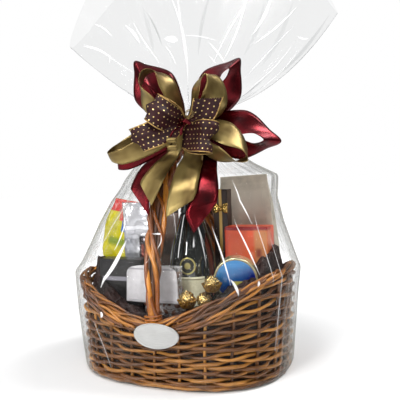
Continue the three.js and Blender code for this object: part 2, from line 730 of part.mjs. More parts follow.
const packs = {
  yellow_bag: [placed(pillowBag({ wide: 104, tall: 166, deep: 30, rounded: 0.5 }),
    { x: -134, y: -9, z: 243, tiltY: 10 }), finish(COLOURS.yellow, 0.35)],
  silver_bag: [placed(pillowBag({ wide: 82, tall: 184, deep: 28 }),
    { x: -82, y: -45, z: 230 }), finish(COLOURS.silver, 0.3, 0.6)],
  dark_box: [placed(carton({ wide: 92, deep: 32, tall: 126 }),
    { x: -98, y: -79, z: 90 }), finish(COLOURS.charcoal, 0.5)],
  sweets_bag: [placed(pillowBag({ wide: 82, tall: 108, deep: 32 }),
    { x: -8, y: -92, z: 152 }), finish(COLOURS.clear, 0.3)],
  sweets_label: [placed(carton({ wide: 110, deep: 0.8, tall: 70, bevel: 0.3 }),
    { x: -23, y: -110, z: 139 }), finish(COLOURS.paper, 0.7)],
  brown_pack: [placed(pillowBag({ wide: 44, tall: 190, deep: 34 }),
    { x: -50, y: 27, z: 200 }), finish(COLOURS.brown, 0.6)],
  tall_pack: [placed(carton({ wide: 36, deep: 20, tall: 272 }),
    { x: -64, y: 58, z: 104 }), finish(COLOURS.grey, 0.5)],
  tied_box: [placed(carton({ wide: 30, deep: 26, tall: 200 }),
    { x: 68, y: 34, z: 142 }), finish(COLOURS.chocolate, 0.5)],
  foil_bow: [placed(foilBow(), { x: 70, y: 20.7, z: 304 }), finish(COLOURS.foil, 0.25, 0.9)],
  paper_bag: [placed(foldedBag({ wide: 132, topWide: 108, tall: 182, deep: 38, edge: 6 }),
    { x: 108, y: 70, z: 186, tiltY: -2 }), finish(COLOURS.kraft, 0.8)],
  orange_box: [placed(carton({ wide: 86, deep: 46, tall: 138 }),
    { x: 128, y: 18, z: 132 }), finish(COLOURS.orange, 0.45)],
  blue_tin: [tinShape(), finish(COLOURS.blue, 0.3, 0.4)],
};

const profiles = bottleProfile();
packs.bottle = [turned(profiles.glass, 20, BOTTLE), finish(COLOURS.glass, 0.08)];
packs.bottle_foil = [turned(profiles.foil, 14, BOTTLE), finish(COLOURS.capsule, 0.35, 0.5)];
packs.bottle_label = [
  bentPlate({ from: -42, to: 42, bottom: 34, top: 132, thick: 0.8 }), finish(COLOURS.label, 0.7),
];
packs.bottle_emblem = [
  bentPlate({ from: -20, to: 20, bottom: 146, top: 178, thick: 1, round: true }),
  finish(COLOURS.brassy, 0.3, 0.8),
];

const SWEETS = [
  { x: 55, y: -124, z: 153, cup: true }, { x: 99, y: -114, z: 182, cup: true }, { x: 84, y: -114, z: 151 },
];
SWEETS.forEach((place, i) => {
  packs[`sweet_${i + 1}`] = [placed(sweetShape(), place), finish(COLOURS.foil, 0.25, 0.9)];
  if (place.cup) packs[`sweet_cup_${i + 1}`] = [placed(cupShape(), place), finish(COLOURS.crimped, 0.6)];
});

const tissue = carve(tissueCore(), Object.values(packs).map(([shape]) => shape), 1.5);

const dotted = dottedShape();
const gold = carve(goldShape(), [dotted], 0.6);
const burgundy = carve(burgundyShape(), [gold], 0.6);

const basket = new THREE.Group();
basket.add(
  piece('film', filmShape(), finish(COLOURS.film, 0.05)),
  piece('tie_ribbon', tieShape(), finish(COLOURS.gold, 0.4)),
  piece('bow_burgundy', burgundy, finish(COLOURS.burgundy, 0.3)),
  piece('bow_gold', gold, finish(COLOURS.gold, 0.35)),
  piece('bow_dotted', dotted, finish(COLOURS.dotted, 0.6)),
  piece('basket', wicker, finish(COLOURS.wicker, 0.5)),
  piece('rim_border', border, finish(COLOURS.rod, 0.45)),
  piece('handle', handle, finish(COLOURS.rod, 0.4)),
  piece('oval_tag', placed(tagShape(), { x: 10, y: -165, z: 95, tiltY: 2 }), finish(COLOURS.tag, 0.4)),
  piece('tissue', tissue, finish(COLOURS.tissue, 0.7)),
);
for (const [name, [shape, material]] of Object.entries(packs)) {
  basket.add(piece(name, shape, material));
}

export default basket;
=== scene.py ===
# A gift basket in clear film with a bow of three ribbons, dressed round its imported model.
# Sizes are in millimetres until a mesh is made, in the frame of the model.
import math
import bpy
import numpy as np
from mathutils import Matrix


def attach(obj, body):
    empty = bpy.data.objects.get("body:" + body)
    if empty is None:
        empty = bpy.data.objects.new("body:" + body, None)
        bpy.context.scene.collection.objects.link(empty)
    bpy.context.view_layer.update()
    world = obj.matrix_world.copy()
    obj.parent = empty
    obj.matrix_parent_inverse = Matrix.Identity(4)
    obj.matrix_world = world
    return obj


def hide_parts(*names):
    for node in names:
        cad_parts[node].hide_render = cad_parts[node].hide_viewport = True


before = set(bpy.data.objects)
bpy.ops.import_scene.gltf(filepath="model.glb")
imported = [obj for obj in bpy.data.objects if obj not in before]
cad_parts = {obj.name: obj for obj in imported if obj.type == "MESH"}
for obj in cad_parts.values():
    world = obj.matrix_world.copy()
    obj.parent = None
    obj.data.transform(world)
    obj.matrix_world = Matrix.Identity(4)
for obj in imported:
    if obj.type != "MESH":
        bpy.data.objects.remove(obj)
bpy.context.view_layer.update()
TAU = 2 * math.pi

# Named sizes, as in the solids, but for the tin's place, the flare's pleats and the dotted ribbon's hub
NECK_X, NECK_Z, NECK_R = 12, 482, 20
FLARE = dict(height=318, depth=40, rise=0.2, pleats=6, ripple=11, wave=12)
FLARE_LEFT = dict(reach=258, height=182, bend=1.4)
FLARE_RIGHT = dict(reach=275, height=153, bend=2.6)
FOOT = (198, 157)
MOUTH = (212, 156)
WALL_TOP = 188
ROUNDNESS = 2.5
RIM_LOW, RIM_LEFT, RIM_RIGHT, RIM_RISE = 110, 182, 194, 1.25
HANDLE = dict(span=150, top=425, wide=18, thick=10, foot=14)
BOTTLE = dict(x=24, y=-25, z=40, radius=44, shoulder=162, neck=15, foil=260, height=322)
TIN = dict(radius=39.5, thick=24, x=127, y=-62, z=187, faces=15, leans=8)
# Each sweet's place, and whether it sits in a cup
SWEETS = [(55, -124, 153, True), (99, -114, 182, True), (84, -114, 151, False)]
BOW_TURN, BOW_Z = math.radians(21), 470
HUBS = dict(burgundy=59, gold=84.3, dotted=124)
# The weave, which is finer than the solid's, and how far its stakes stand inside the wall's face
STAKES, ROWS, ROD, STAKE_INSET = 24, 22, 3.15, 4.8

# The film's reach left, right, front and back of its middle, at each height
FILM = np.array([
    [14, 206, 206, 170, 168], [120, 219, 216, 173, 171], [190, 226, 224, 167, 169],
    [280, 184, 192, 142, 145], [325, 159, 182, 125, 138], [368, 120, 186, 104, 130],
    [390, 99, 143, 88, 98], [415, 76, 104, 68, 74], [442, 52, 62, 47, 50], [464, 31, 34, 29, 30],
    [476, 20, 20, 20, 20],
], float).T
# How far the film's front left shoulder draws in, as a share of its reach, at each height
SHOULDER = np.array([
    [190, 0], [206, 0.04], [249, 0.09], [288, 0.14], [326, 0.22], [345, 0.21], [368, 0.1], [400, 0],
]).T
# How far the film's free edge draws in above the left corner
LEFT_PULL = 46


# Camera, light and the places of points

def spots(x, y, z):
    """Points from their coordinates, each a number or an array."""
    return np.stack(np.broadcast_arrays(x, y, z), -1)


def turn_angles(count):
    """Evenly spaced angles once round a circle."""
    return np.arange(count) / count * TAU


def unit(vectors):
    return vectors / np.maximum(np.linalg.norm(vectors, axis=-1, keepdims=True), 1e-9)


def add_object(name, data, axes=np.eye(3), at=(0, 0, 0)):
    """An object whose X, Y and Z axes and place are given, in metres."""
    made = bpy.data.objects.new(name, data)
    pose = np.eye(4)
    pose[:3] = np.column_stack([*axes, at])
    made.matrix_world = Matrix(pose.tolist())
    bpy.context.scene.collection.objects.link(made)
    return made


def add_camera():
    """The camera stands 23 degrees round from the front, looks 2.5 degrees down and leans 2 degrees."""
    place = (0.454, -0.9903, 0.3695)
    round_by, down, roll = (math.radians(a) for a in (23, 2.5, -2))
    side = np.array([math.cos(round_by), math.sin(round_by), 0])
    ahead = np.array([-side[1] * math.cos(down), side[0] * math.cos(down), -math.sin(down)])
    up = np.cross(side, ahead)
    right = side * math.cos(roll) + up * math.sin(roll)
    top = up * math.cos(roll) - side * math.sin(roll)
    data = bpy.data.cameras.new("camera")
    data.lens = 48.96
    data.sensor_width = 36
    data.clip_end = 50
    bpy.context.scene.camera = add_object("camera", data, (right, top, -ahead), place)


def add_lamps():
    lamps = [
        # name, place and target in metres, size, power
        ("key", (-0.25, -1.35, 2.35), (0, 0, 0.3), (0.9, 0.5), 34),
        ("left", (-1.9, -1.3, 1.1), (0, 0, 0.3), (0.3, 1.5), 12),
        ("front", (-0.5, -2.6, 1.0), (0, 0, 0.4), (0.5, 0.5), 28),
        ("right", (1.4, -2.1, 1.5), (0, 0, 0.3), (0.5, 0.9), 14),
        ("top", (1.1, 0.5, 1.9), (-0.05, 0, 0.15), (0.7, 0.7), 30),
    ]
    for name, at, aim, size, power in lamps:
        data = bpy.data.lights.new(name, "AREA")
        data.shape = "RECTANGLE"
        data.size, data.size_y = size
        data.energy = power
        back = unit(np.subtract(at, aim))
        right = unit(np.cross((0, 0, 1), back))
        add_object(name, data, (right, np.cross(back, right), back), at)


def add_sky():
    """A broad weak sun, and a studio that is white to the camera and dim to everything else."""
    sun = bpy.data.lights.new("sky", "SUN")
    sun.energy = 0.85
    sun.angle = math.radians(70)
    lamp = add_object("sky", sun)
    lamp.rotation_euler = (math.radians(10), math.radians(-8), 0)
    world = bpy.data.worlds.new("studio")
    f = Finish("studio", world)
    seen = f.node("LightPath", output="Is Camera Ray")
    light = f.node("Background", {0: (0.95, 0.97, 1), 1: 0.12})
    white = f.node("Background", {0: (1, 1, 1), 1: 1.0})
    f.done(f.mixed(seen, light, white), "OutputWorld")
    scene = bpy.context.scene
    scene.world = world
    scene.view_settings.view_transform = "Standard"
    scene.view_settings.look = "None"


def add_floor():
    """A pale floor. To the camera it glows more and more with its distance, up to the studio's white."""
    f = Finish("floor")
    colour = f.blend(f.noise(f.place(), 3), (0.79, 0.79, 0.79), (0.81, 0.81, 0.81))
    seen = f.node("LightPath", output="Is Camera Ray")
    far = f.node("VectorMath", {0: f.place()}, "Value", operation="LENGTH")
    glow = seen * f.step(far, 0.3, 1.3, 0.0, 0.78)
    pale = f.solid(colour, 0.8, Specular_IOR_Level=0.1, Emission_Color=(1, 1, 1), Emission_Strength=glow)
    mesh = Mesh()
    a = turn_angles(64)
    radius = np.array([[0.01], [600], [3000], [12000]])
    mesh.grid(spots(np.cos(a) * radius, np.sin(a) * radius, -0.2), around=True, flip=True)
    mesh.make("floor", [pale], smooth=False)


# Materials

class Value:
    """A node's output. Arithmetic on it adds a Math node."""

    def __init__(self, finish, socket):
        self.finish, self.socket = finish, socket

    def __add__(self, other):
        return self.finish.math("ADD", self, other)

    def __sub__(self, other):
        return self.finish.math("SUBTRACT", self, other)

    def __mul__(self, other):
        return self.finish.math("MULTIPLY", self, other)


class Finish:
    """A node material under construction: each call adds a node and gives its output."""

    def __init__(self, name, owner=None):
        self.owner = owner or bpy.data.materials.new(name)
        self.owner.use_nodes = True
        self.tree = self.owner.node_tree
        self.tree.nodes.clear()

    def put(self, socket, value):
        if isinstance(value, Value):
            self.tree.links.new(value.socket, socket)
        elif isinstance(value, tuple) and len(socket.default_value) == 4:
            socket.default_value = (*value, 1)
        else:
            socket.default_value = value

    def node(self, kind, inputs=(), output=0, **settings):
        made = self.tree.nodes.new("ShaderNode" + kind)
        for key, value in settings.items():
            setattr(made, key, value)
        for key, value in dict(inputs).items():
            self.put(made.inputs[key], value)
        return Value(self, made.outputs[output])

    def local(self, name="local", output="Vector"):
        return self.node("Attribute", (), output, attribute_name=name)

    def xyz(self, vector):
        x = self.node("SeparateXYZ", {0: vector})
        return [Value(self, socket) for socket in x.socket.node.outputs]

    def place(self):
        return self.node("TexCoord", output="Object")

    def scaled(self, vector, scale):
        return self.node("VectorMath", {0: vector, 1: scale}, operation="MULTIPLY")

    def noise(self, vector, scale, detail=3, rough=0.5, warp=0):
        """Soft noise. A scale of three numbers stretches it."""
        if isinstance(scale, tuple):
            vector, scale = self.scaled(vector, scale), 1.0
        wants = {"Vector": vector, "Scale": scale, "Detail": detail, "Roughness": rough, "Distortion": warp}
        return self.node("TexNoise", wants, "Fac")

    def cells(self, vector, scale, feature="F1"):
        return self.node("TexVoronoi", {"Vector": vector, "Scale": scale}, "Distance", feature=feature)

    def math(self, operation, a, b=0.0, clamp=False):
        return self.node("Math", {0: a, 1: b}, operation=operation, use_clamp=clamp)

    def radius(self, x, y):
        return self.math("SQRT", x * x + y * y)

    def step(self, value, low, high, start=0.0, end=1.0):
        wants = {"Value": value, "From Min": low, "From Max": high, "To Min": start, "To Max": end}
        return self.node("MapRange", wants, clamp=True)

    def inside(self, value, low, high, soft):
        """1 between the two limits and 0 outside them, with edges that are so soft."""
        return self.step(value, low - soft, low + soft) * self.step(value, high - soft, high + soft, 1, 0)

    def blend(self, share, a, b):
        return self.node("Mix", {0: share, 6: a, 7: b}, 2, data_type="RGBA")

    def mixed(self, share, a, b):
        return self.node("MixShader", {0: share, 1: a, 2: b})

    def clear(self, tint):
        return self.node("BsdfTransparent", {0: tint})

    def bump(self, height, strength, distance):
        return self.node("Bump", {"Height": height, "Strength": strength, "Distance": distance})

    def shader(self, colour, rough, **more):
        wants = {key.replace("_", " "): value for key, value in more.items()}
        return self.node("BsdfPrincipled", {"Base Color": colour, "Roughness": rough, **wants})

    def done(self, surface, kind="OutputMaterial"):
        end = self.tree.nodes.new("ShaderNode" + kind)
        self.put(end.inputs[0], surface)
        return self.owner

    def solid(self, colour, rough, **more):
        """The finished material, of one shader."""
        return self.done(self.shader(colour, rough, **more))


def rgb(r, g, b):
    """A colour as seen on a screen, 0 to 255, in the renderer's own scale."""
    return tuple(c / 3294.6 if c <= 10.3 else ((c / 255 + 0.055) / 1.055) ** 2.4 for c in (r, g, b))


def wicker_material(name, dark, mid, light, shine=0.32):
    """Peeled rods: streaks and patches run along each rod, and stains lie across the basket."""
    f = Finish(name)
    dark = rgb(*dark)
    along = f.local("rod")
    streak = f.noise(along, (0.02, 1.6, 0), 4, 0.6)
    patch = f.noise(along, (0.006, 0.05, 0), 2)
    colour = f.blend(f.step(streak * 0.55 + patch * 0.6, 0.38, 0.78), dark, rgb(*mid))
    colour = f.blend(f.step(patch, 0.5, 0.75), colour, rgb(*light))
    stain = f.noise(f.place(), 26)
    colour = f.blend(f.step(stain, 0.52, 0.72, 0, 0.55), colour, dark)
    normal = f.bump(f.noise(along, (0.03, 3.0, 0)), 0.35, 0.0008)
    rough = f.step(streak, 0.3, 0.7, shine, shine + 0.2)
    return f.solid(colour, rough, Normal=normal, Coat_Weight=0.3, Coat_Roughness=0.25)


def satin_material(name, dark, light, rough, metal):
    """Satin: threads run across the strip, and its shine takes the cloth's own colour."""
    f = Finish(name)
    cloth = f.local("cloth")
    threads = {"Vector": f.scaled(cloth, (1, 1, 0)), "Scale": 1.1, "Distortion": 0.4}
    weave = f.node("TexWave", threads, "Fac", bands_direction="Y")
    fine = f.noise(cloth, (0.15, 3.0, 0), 2)
    dark = rgb(*dark)
    colour = f.blend(f.step(f.noise(cloth, (0.02, 0.03, 0), 2), 0.3, 0.7), dark, rgb(*light))
    colour = f.blend(fine * 0.2, colour, dark)
    return f.solid(colour, rough, Metallic=metal, Normal=f.bump(weave * 0.4 + fine, 0.08, 0.0003))


def dotted_material():
    """Sheer dark cloth with gold dots on a slanted grid."""
    f = Finish("dotted_ribbon")
    u, w, _ = f.xyz(f.local("cloth"))
    pitch = 9.2
    across, up = (f.math("DIVIDE", value, pitch) for value in (u, w))
    shifted = across + f.math("FLOOR", up) * 0.5
    far = f.radius(f.math("FRACT", shifted) - 0.5, f.math("FRACT", up) - 0.5)
    dot = f.step(far, 0.10, 0.145, 1, 0)
    flat = f.node("CombineXYZ", {0: u, 1: w})
    mesh = f.noise(flat, (1.6, 1.6, 0), 2)
    soft = f.noise(flat, (0.05, 0.05, 0), 2)
    base = f.blend(f.step(mesh, 0.35, 0.65), rgb(20, 3, 5), rgb(45, 8, 11))
    base = f.blend(f.step(soft, 0.4, 0.7, 0, 0.4), base, rgb(68, 15, 21))
    colour = f.blend(dot, base, rgb(224, 196, 128))
    return f.solid(colour, f.step(dot, 0, 1, 0.6, 0.3), Metallic=dot * 0.5, Specular_IOR_Level=0.25,
                   Normal=f.bump(mesh + dot * 2.0, 0.25, 0.0005))


def film_material():
    """Clear film: long creases bend its shine, and light passes straight through the rest."""
    f = Finish("film")
    sheet = f.local("sheet")
    long = f.noise(sheet, (0.09, 0.010, 0), 3, 0.55, 0.4)
    fine = f.noise(sheet, (0.5, 0.04, 0), 2)
    flare = f.step(f.xyz(f.place())[2], 0.50, 0.56)
    normal = f.bump((long + fine * 0.14) * f.step(flare, 0, 1, 1.0, 0.35), 0.9, 0.006)
    edge = f.node("LayerWeight", {"Blend": 0.12, "Normal": normal}, "Fresnel")
    veil = f.math("MULTIPLY", edge, f.step(flare, 0, 1, 0.55, 0.9), clamp=True)
    gloss = f.node("BsdfGlossy", {"Color": (0.95, 0.96, 0.97), "Roughness": 0.06, "Normal": normal})
    facing = f.node("LayerWeight", {"Blend": 0.5}, "Facing")
    patch = f.noise(sheet, (0.012, 0.006, 0), 2, 0.5, 0.6)
    haze = f.step(facing, 0.55, 0.95, 0, 0.62) + f.step(patch, 0.5, 0.75, 0, 0.07)
    haze = f.math("MULTIPLY", haze, f.step(flare, 0, 1, 1.0, 0.2), clamp=True)
    grey = f.node("BsdfDiffuse", {"Color": (0.34, 0.34, 0.30)})
    clear = f.clear(f.blend(flare, (0.985, 0.985, 0.985), (0.935, 0.937, 0.937)))
    return f.done(f.mixed(veil, f.mixed(haze, clear, grey), gloss))


def glint_crease_material():
    """A crease's painted highlight, white and glowing a little though it is no lamp, or where its strength is
    below nothing, a painted shade.
    """
    f = Finish("film_painted_glint")
    grain = f.noise(f.local("sheet"), (0.3, 0.05, 0))
    strength = f.local("strength", "Fac")
    share = f.math("MULTIPLY", strength, f.step(grain, 0.25, 0.6, 0.6, 1.0), clamp=True)
    # painted shade: a grey tint where the strength is below nothing
    shade = f.math("MULTIPLY", strength, -1.0, clamp=True)
    # painted highlight: white, and glowing a little though it is no lamp
    white = f.shader((1, 1, 1), 0.2, Emission_Color=(1, 1, 1), Emission_Strength=0.45)
    return f.done(f.mixed(share, f.clear(f.blend(shade, (1, 1, 1), (0.5, 0.52, 0.52))), white))


def foil_material(name, dark, light, rough=0.25):
    f = Finish(name)
    spot = f.local()
    fine = f.noise(spot, 420)
    colour = f.blend(f.step(fine, 0.3, 0.7), rgb(*dark), rgb(*light))
    normal = f.bump(f.cells(spot, 260) + fine * 0.5, 0.9, 0.0015)
    return f.solid(colour, rough, Metallic=0.9, Normal=normal)


def print_finish(name, base, fields, rough, metal=0.0, dents=0.3, scale=90, coat=0.2):
    """A printed pack: a ground colour with simple fields on its front.

    Each field is its left, right, lower and upper limit in millimetres, its colour and, if
    its edges are soft, how soft. Colours are as seen on a screen.
    """
    f = Finish(name)
    spot = f.local()
    x, y, z = f.xyz(spot)
    grain = f.noise(spot, scale, 4)
    base = rgb(*base)
    dark = tuple(c * 0.82 for c in base)
    light = tuple(min(1, c * 1.12) for c in base)
    colour = f.blend(f.step(grain, 0.3, 0.7), dark, light)
    front = f.step(y, -0.0005, 0.0005, 1, 0)
    for x0, x1, z0, z1, paint, *soft in fields:
        x0, x1, z0, z1, blur = (v * 0.001 for v in (x0, x1, z0, z1, *(soft or [0.4])))
        colour = f.blend(f.inside(x, x0, x1, blur) * f.inside(z, z0, z1, blur) * front, colour, rgb(*paint))
    normal = f.bump(f.noise(spot, scale * 0.7, 3, 0.55, 0.5), dents, 0.0015)
    rough = f.step(grain, 0.2, 0.8, rough - 0.07, rough + 0.1)
    return f.solid(colour, rough, Metallic=metal, Normal=normal, Coat_Weight=coat, Coat_Roughness=0.15)


# Mesh making

class Mesh:
    """Vertices, faces and attributes gathered from many sheets and tubes, in millimetres."""

    def __init__(self):
        self.points, self.faces, self.slots, self.total = [], [], [], 0
        self.attributes = {}

    def grid(self, points, around=False, ends=False, slot=0, wrap=False, flip=False, **attributes):
        """points is rows x columns x 3. around joins the last column to the first, and wrap the last row."""
        rows, columns = points.shape[:2]
        index = self.total + np.arange(rows * columns).reshape(rows, columns)
        here = index if around else index[:, :-1]
        right = np.roll(index, -1, axis=1)[:, :here.shape[1]]
        quads = np.stack([here, right, np.roll(right, -1, axis=0), np.roll(here, -1, axis=0)], -1)
        quads = (quads if wrap else quads[:-1]).reshape(-1, 4)
        faces = (quads[:, ::-1] if flip else quads).tolist()
        if ends:
            first, last = index[0].tolist(), index[-1].tolist()
            faces += [first, last[::-1]] if flip else [first[::-1], last]
        self.faces += faces
        self.slots += [slot] * len(faces)
        self.points.append(points.reshape(-1, 3))
        for key, value in attributes.items():
            value = np.broadcast_to(value, (rows, columns, np.shape(value)[-1])).reshape(rows * columns, -1)
            self.attributes.setdefault(key, []).append((self.total, value))
        self.total += rows * columns

    def put(self, points, place, around=True, ends=True, **more):
        """A grid in its own frame, which the attribute local keeps in metres, then put in place."""
        self.grid(place(points), around, ends, local=points * 0.001, **more)
        return self

    def make(self, name, materials, smooth):
        data = bpy.data.meshes.new(name)
        data.from_pydata((np.concatenate(self.points) * 0.001).tolist(), [], self.faces)
        for key, chunks in self.attributes.items():
            wide = chunks[0][1].shape[1]
            values = np.zeros((self.total, wide), np.float32)
            for start, value in chunks:
                values[start:start + len(value)] = value
            kind, field = ("FLOAT_VECTOR", "vector") if wide == 3 else ("FLOAT", "value")
            data.attributes.new(key, kind, "POINT").data.foreach_set(field, values.ravel())
        for material in materials:
            data.materials.append(material)
        data.polygons.foreach_set("material_index", self.slots)
        data.polygons.foreach_set("use_smooth", [smooth] * len(self.faces))
        data.update()
        data.validate()
        return add_object(name, data)

    def build(self, name, materials, node, slot, solidify=0, smooth=True):
        """The finished piece. node is the solid that it stands for, if it stands for one."""
        piece = self.make(name, materials, smooth)
        if solidify:
            made = piece.modifiers.new("thick", "SOLIDIFY")
            made.thickness = solidify * 0.001
            made.offset = 0
        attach(piece, "root")
        if node:
            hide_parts(node)
        return piece


def lengths(path):
    """How far along the path each of its points lies."""
    return np.concatenate([[0], np.cumsum(np.linalg.norm(np.diff(path, axis=0), axis=1))])


def tangents(path, closed=False):
    if closed:
        return unit(np.roll(path, -1, axis=0) - np.roll(path, 1, axis=0))
    return unit(np.gradient(path, axis=0))


def tube(mesh, path, radius, sides=8, closed=False, slot=0, up=(0, 0, 1), seed=0.0):
    """A rod along a path, its ends shut. The attribute rod runs along it and round it."""
    along = tangents(path, closed)
    side = unit(np.cross(along, np.asarray(up, float)))
    top = np.cross(side, along)
    angle = turn_angles(sides)
    radius = np.broadcast_to(radius, len(path))[:, None, None]
    ring = (np.cos(angle)[:, None] * side[:, None] + np.sin(angle)[:, None] * top[:, None]) * radius
    rod = spots(lengths(path)[:, None] + seed * 700, np.abs(angle - math.pi) * 2.2 + seed * 13, 0)
    mesh.grid(path[:, None] + ring, True, not closed, slot, wrap=closed, flip=True, rod=rod)


def catmull(points, count):
    """The centripetal curve through the points, at evenly spaced parameters."""
    points = np.asarray(points, float)
    padded = np.concatenate([[2 * points[0] - points[1]], points, [2 * points[-1] - points[-2]]])
    result = []
    for t in np.linspace(0, len(points) - 1, count):
        i = min(int(t), len(points) - 2)
        w = t - i
        p0, p1, p2, p3 = padded[i:i + 4]
        d0, d1, d2 = (max(np.linalg.norm(b - a), 1e-4) ** 0.5 for a, b in ((p0, p1), (p1, p2), (p2, p3)))
        m1 = ((p1 - p0) / d0 - (p2 - p0) / (d0 + d1) + (p2 - p1) / d1) * d1
        m2 = ((p2 - p1) / d1 - (p3 - p1) / (d1 + d2) + (p3 - p2) / d2) * d1
        square, cube = -3 * p1 + 3 * p2 - 2 * m1 - m2, 2 * p1 - 2 * p2 + m1 + m2
        result.append(p1 + m1 * w + square * w * w + cube * w ** 3)
    return np.array(result)


def smoothstep(value, low, high):
    t = np.clip((np.asarray(value, float) - low) / (high - low), 0, 1)
    return t * t * (3 - 2 * t)


def signed_power(value, power):
    return np.sign(value) * np.abs(value) ** power


def turned(profile, segments, place):
    """A profile of (radius, height) turned round the upright axis, then put in place."""
    radius, height = np.transpose(profile)
    radius = np.maximum(radius, 0.05)[:, None]
    angle = turn_angles(segments)
    return Mesh().put(spots(np.cos(angle) * radius, np.sin(angle) * radius, height[:, None]), place)


def rounded(profile, reach, steps=4):
    """A profile whose corners are taken off by short arcs."""
    result = [profile[0]]
    for a, b, c in zip(*(np.array(profile[k:], float) for k in range(3))):
        before = b + (a - b) * min(0.45, reach / max(np.linalg.norm(a - b), 1e-6))
        after = b + (c - b) * min(0.45, reach / max(np.linalg.norm(c - b), 1e-6))
        for t in np.linspace(0, 1, steps):
            result.append(before * (1 - t) ** 2 + b * 2 * t * (1 - t) + after * t * t)
    return [*result, profile[-1]]


def rotation(axis, degrees):
    c, s = math.cos(math.radians(degrees)), math.sin(math.radians(degrees))
    a, b = (axis + 1) % 3, (axis + 2) % 3
    turn = np.eye(3)
    turn[a, a] = turn[b, b] = c
    turn[a, b], turn[b, a] = -s, s
    return turn


def posed(x, y, z, tilt_y=0.0, turn=0.0, tilt_x=0.0):
    """A function that turns points about X, then Y, then Z, and moves them."""
    turn_all = rotation(2, turn) @ rotation(1, tilt_y) @ rotation(0, tilt_x)
    return lambda p: p @ turn_all.T + (x, y, z)


def crinkle(p, size, scale, seed):
    """Smooth pseudo-random dents from summed waves at a point's own place."""
    p = p / scale
    value = np.zeros(p.shape[:-1])
    local = np.random.default_rng(seed)
    for k in range(14):
        way = local.normal(size=3)
        value += np.sin(p @ (way * (0.6 + 0.28 * k)) + local.uniform(0, TAU)) / (1 + 0.3 * k)
    return value * size / 3


# Basket

def oval(angle, half_x, half_y):
    power = 2 / ROUNDNESS
    return signed_power(np.cos(angle), power) * half_x, signed_power(np.sin(angle), power) * half_y


def towards_ends(x):
    """0 in the basket's middle and 1 at its high ends."""
    return np.minimum(1, np.abs(x) / MOUTH[0]) ** RIM_RISE


def rim_height(angle):
    x = oval(angle, *MOUTH)[0]
    return RIM_LOW + (np.where(x < 0, RIM_LEFT, RIM_RIGHT) - RIM_LOW) * towards_ends(x)


def wall_point(angle, z, inset):
    """A place on the wall, so far inside its outer face."""
    t = z / WALL_TOP
    return spots(*oval(angle, *(low + (high - low) * t - inset for low, high in zip(FOOT, MOUTH))), z)


def even_angles(count):
    """Parameters of points spaced evenly round the oval, starting at the +X end."""
    fine = np.linspace(0, TAU, 4001)
    far = lengths(np.stack(oval(fine, *MOUTH), -1))
    return np.interp(np.linspace(0, far[-1], count, endpoint=False), far, fine)


def row_height(row, x):
    """Rows lie level at the foot and fan out towards the basket's high ends."""
    low = 6 + row * 6.1
    end = 6 + row * 6.8 + 0.12 * row * row
    return low + (end - low) * towards_ends(x)


def runs(shown):
    """Index runs of a closed ring where shown holds, in order round the ring, without the short ones."""
    order = np.roll(np.arange(len(shown)), -int(np.argmin(shown)))
    breaks = np.flatnonzero(np.diff(shown[order].astype(int))) + 1
    return [run for run in np.split(order, breaks) if shown[run[0]] and len(run) > 8]


def add_basket():
    """Woven rows in front of and behind the stakes in turn, a twined foot and a flat floor."""
    rods = wicker_material("woven_rods", (50, 27, 10), (152, 92, 30), (228, 160, 70))
    mesh = Mesh()
    steps = 16
    angles = even_angles(STAKES * steps)
    phase = np.arange(len(angles)) / steps * math.pi
    for row in range(ROWS + 1):
        level = row_height(row, oval(angles, *MOUTH)[0])
        wander = 0.8 * np.sin(angles * 5 + row * 2.1) + 0.9 * np.sin(angles * 19 + row * 5)
        swing = signed_power(np.cos(phase + row * math.pi), 0.75)
        inset = STAKE_INSET - swing * 5.2 + 0.5 * np.sin(angles * 11 + row)
        path = wall_point(angles, level + wander, inset)
        radius = ROD * (1 + 0.14 * np.sin(angles * 7 + row * 1.7))
        shown = level < rim_height(angles) - 9
        if shown.all():
            tube(mesh, path, radius, closed=True, seed=row)
        else:
            for run in runs(shown):
                tube(mesh, path[run], radius[run], seed=row)
    for i, angle in enumerate(angles[::steps]):
        z = np.linspace(3, rim_height(angle) - 4, 20)
        path = wall_point(angle, z, STAKE_INSET)
        path[:, 0] += 0.8 * np.sin(z * 0.05 + i)
        tube(mesh, path, 2.9, up=(math.cos(angle), math.sin(angle), 0), seed=40 + i)
    for k, (inset, height) in enumerate(((-1.0, 4.2), (3.6, 4.0), (1.4, 8.2))):
        z = height + 0.8 * np.sin(angles * 24 + k * 2)
        path = wall_point(angles, z, inset + 1.2 * np.cos(phase * 2 + k * 2))
        tube(mesh, path, 2.9, closed=True, seed=70 + k)
    board = np.linspace(0.15, 1, 5)[:, None]
    x, y = oval(angles[::4], (FOOT[0] - 6) * board, (FOOT[1] - 6) * board)
    for z in (3, 7):
        mesh.grid(spots(x, y, z), around=True, flip=z > 3, rod=spots(x, y * 0.6, 0))
    mesh.build("basket_weave", [rods], "basket", "wicker")


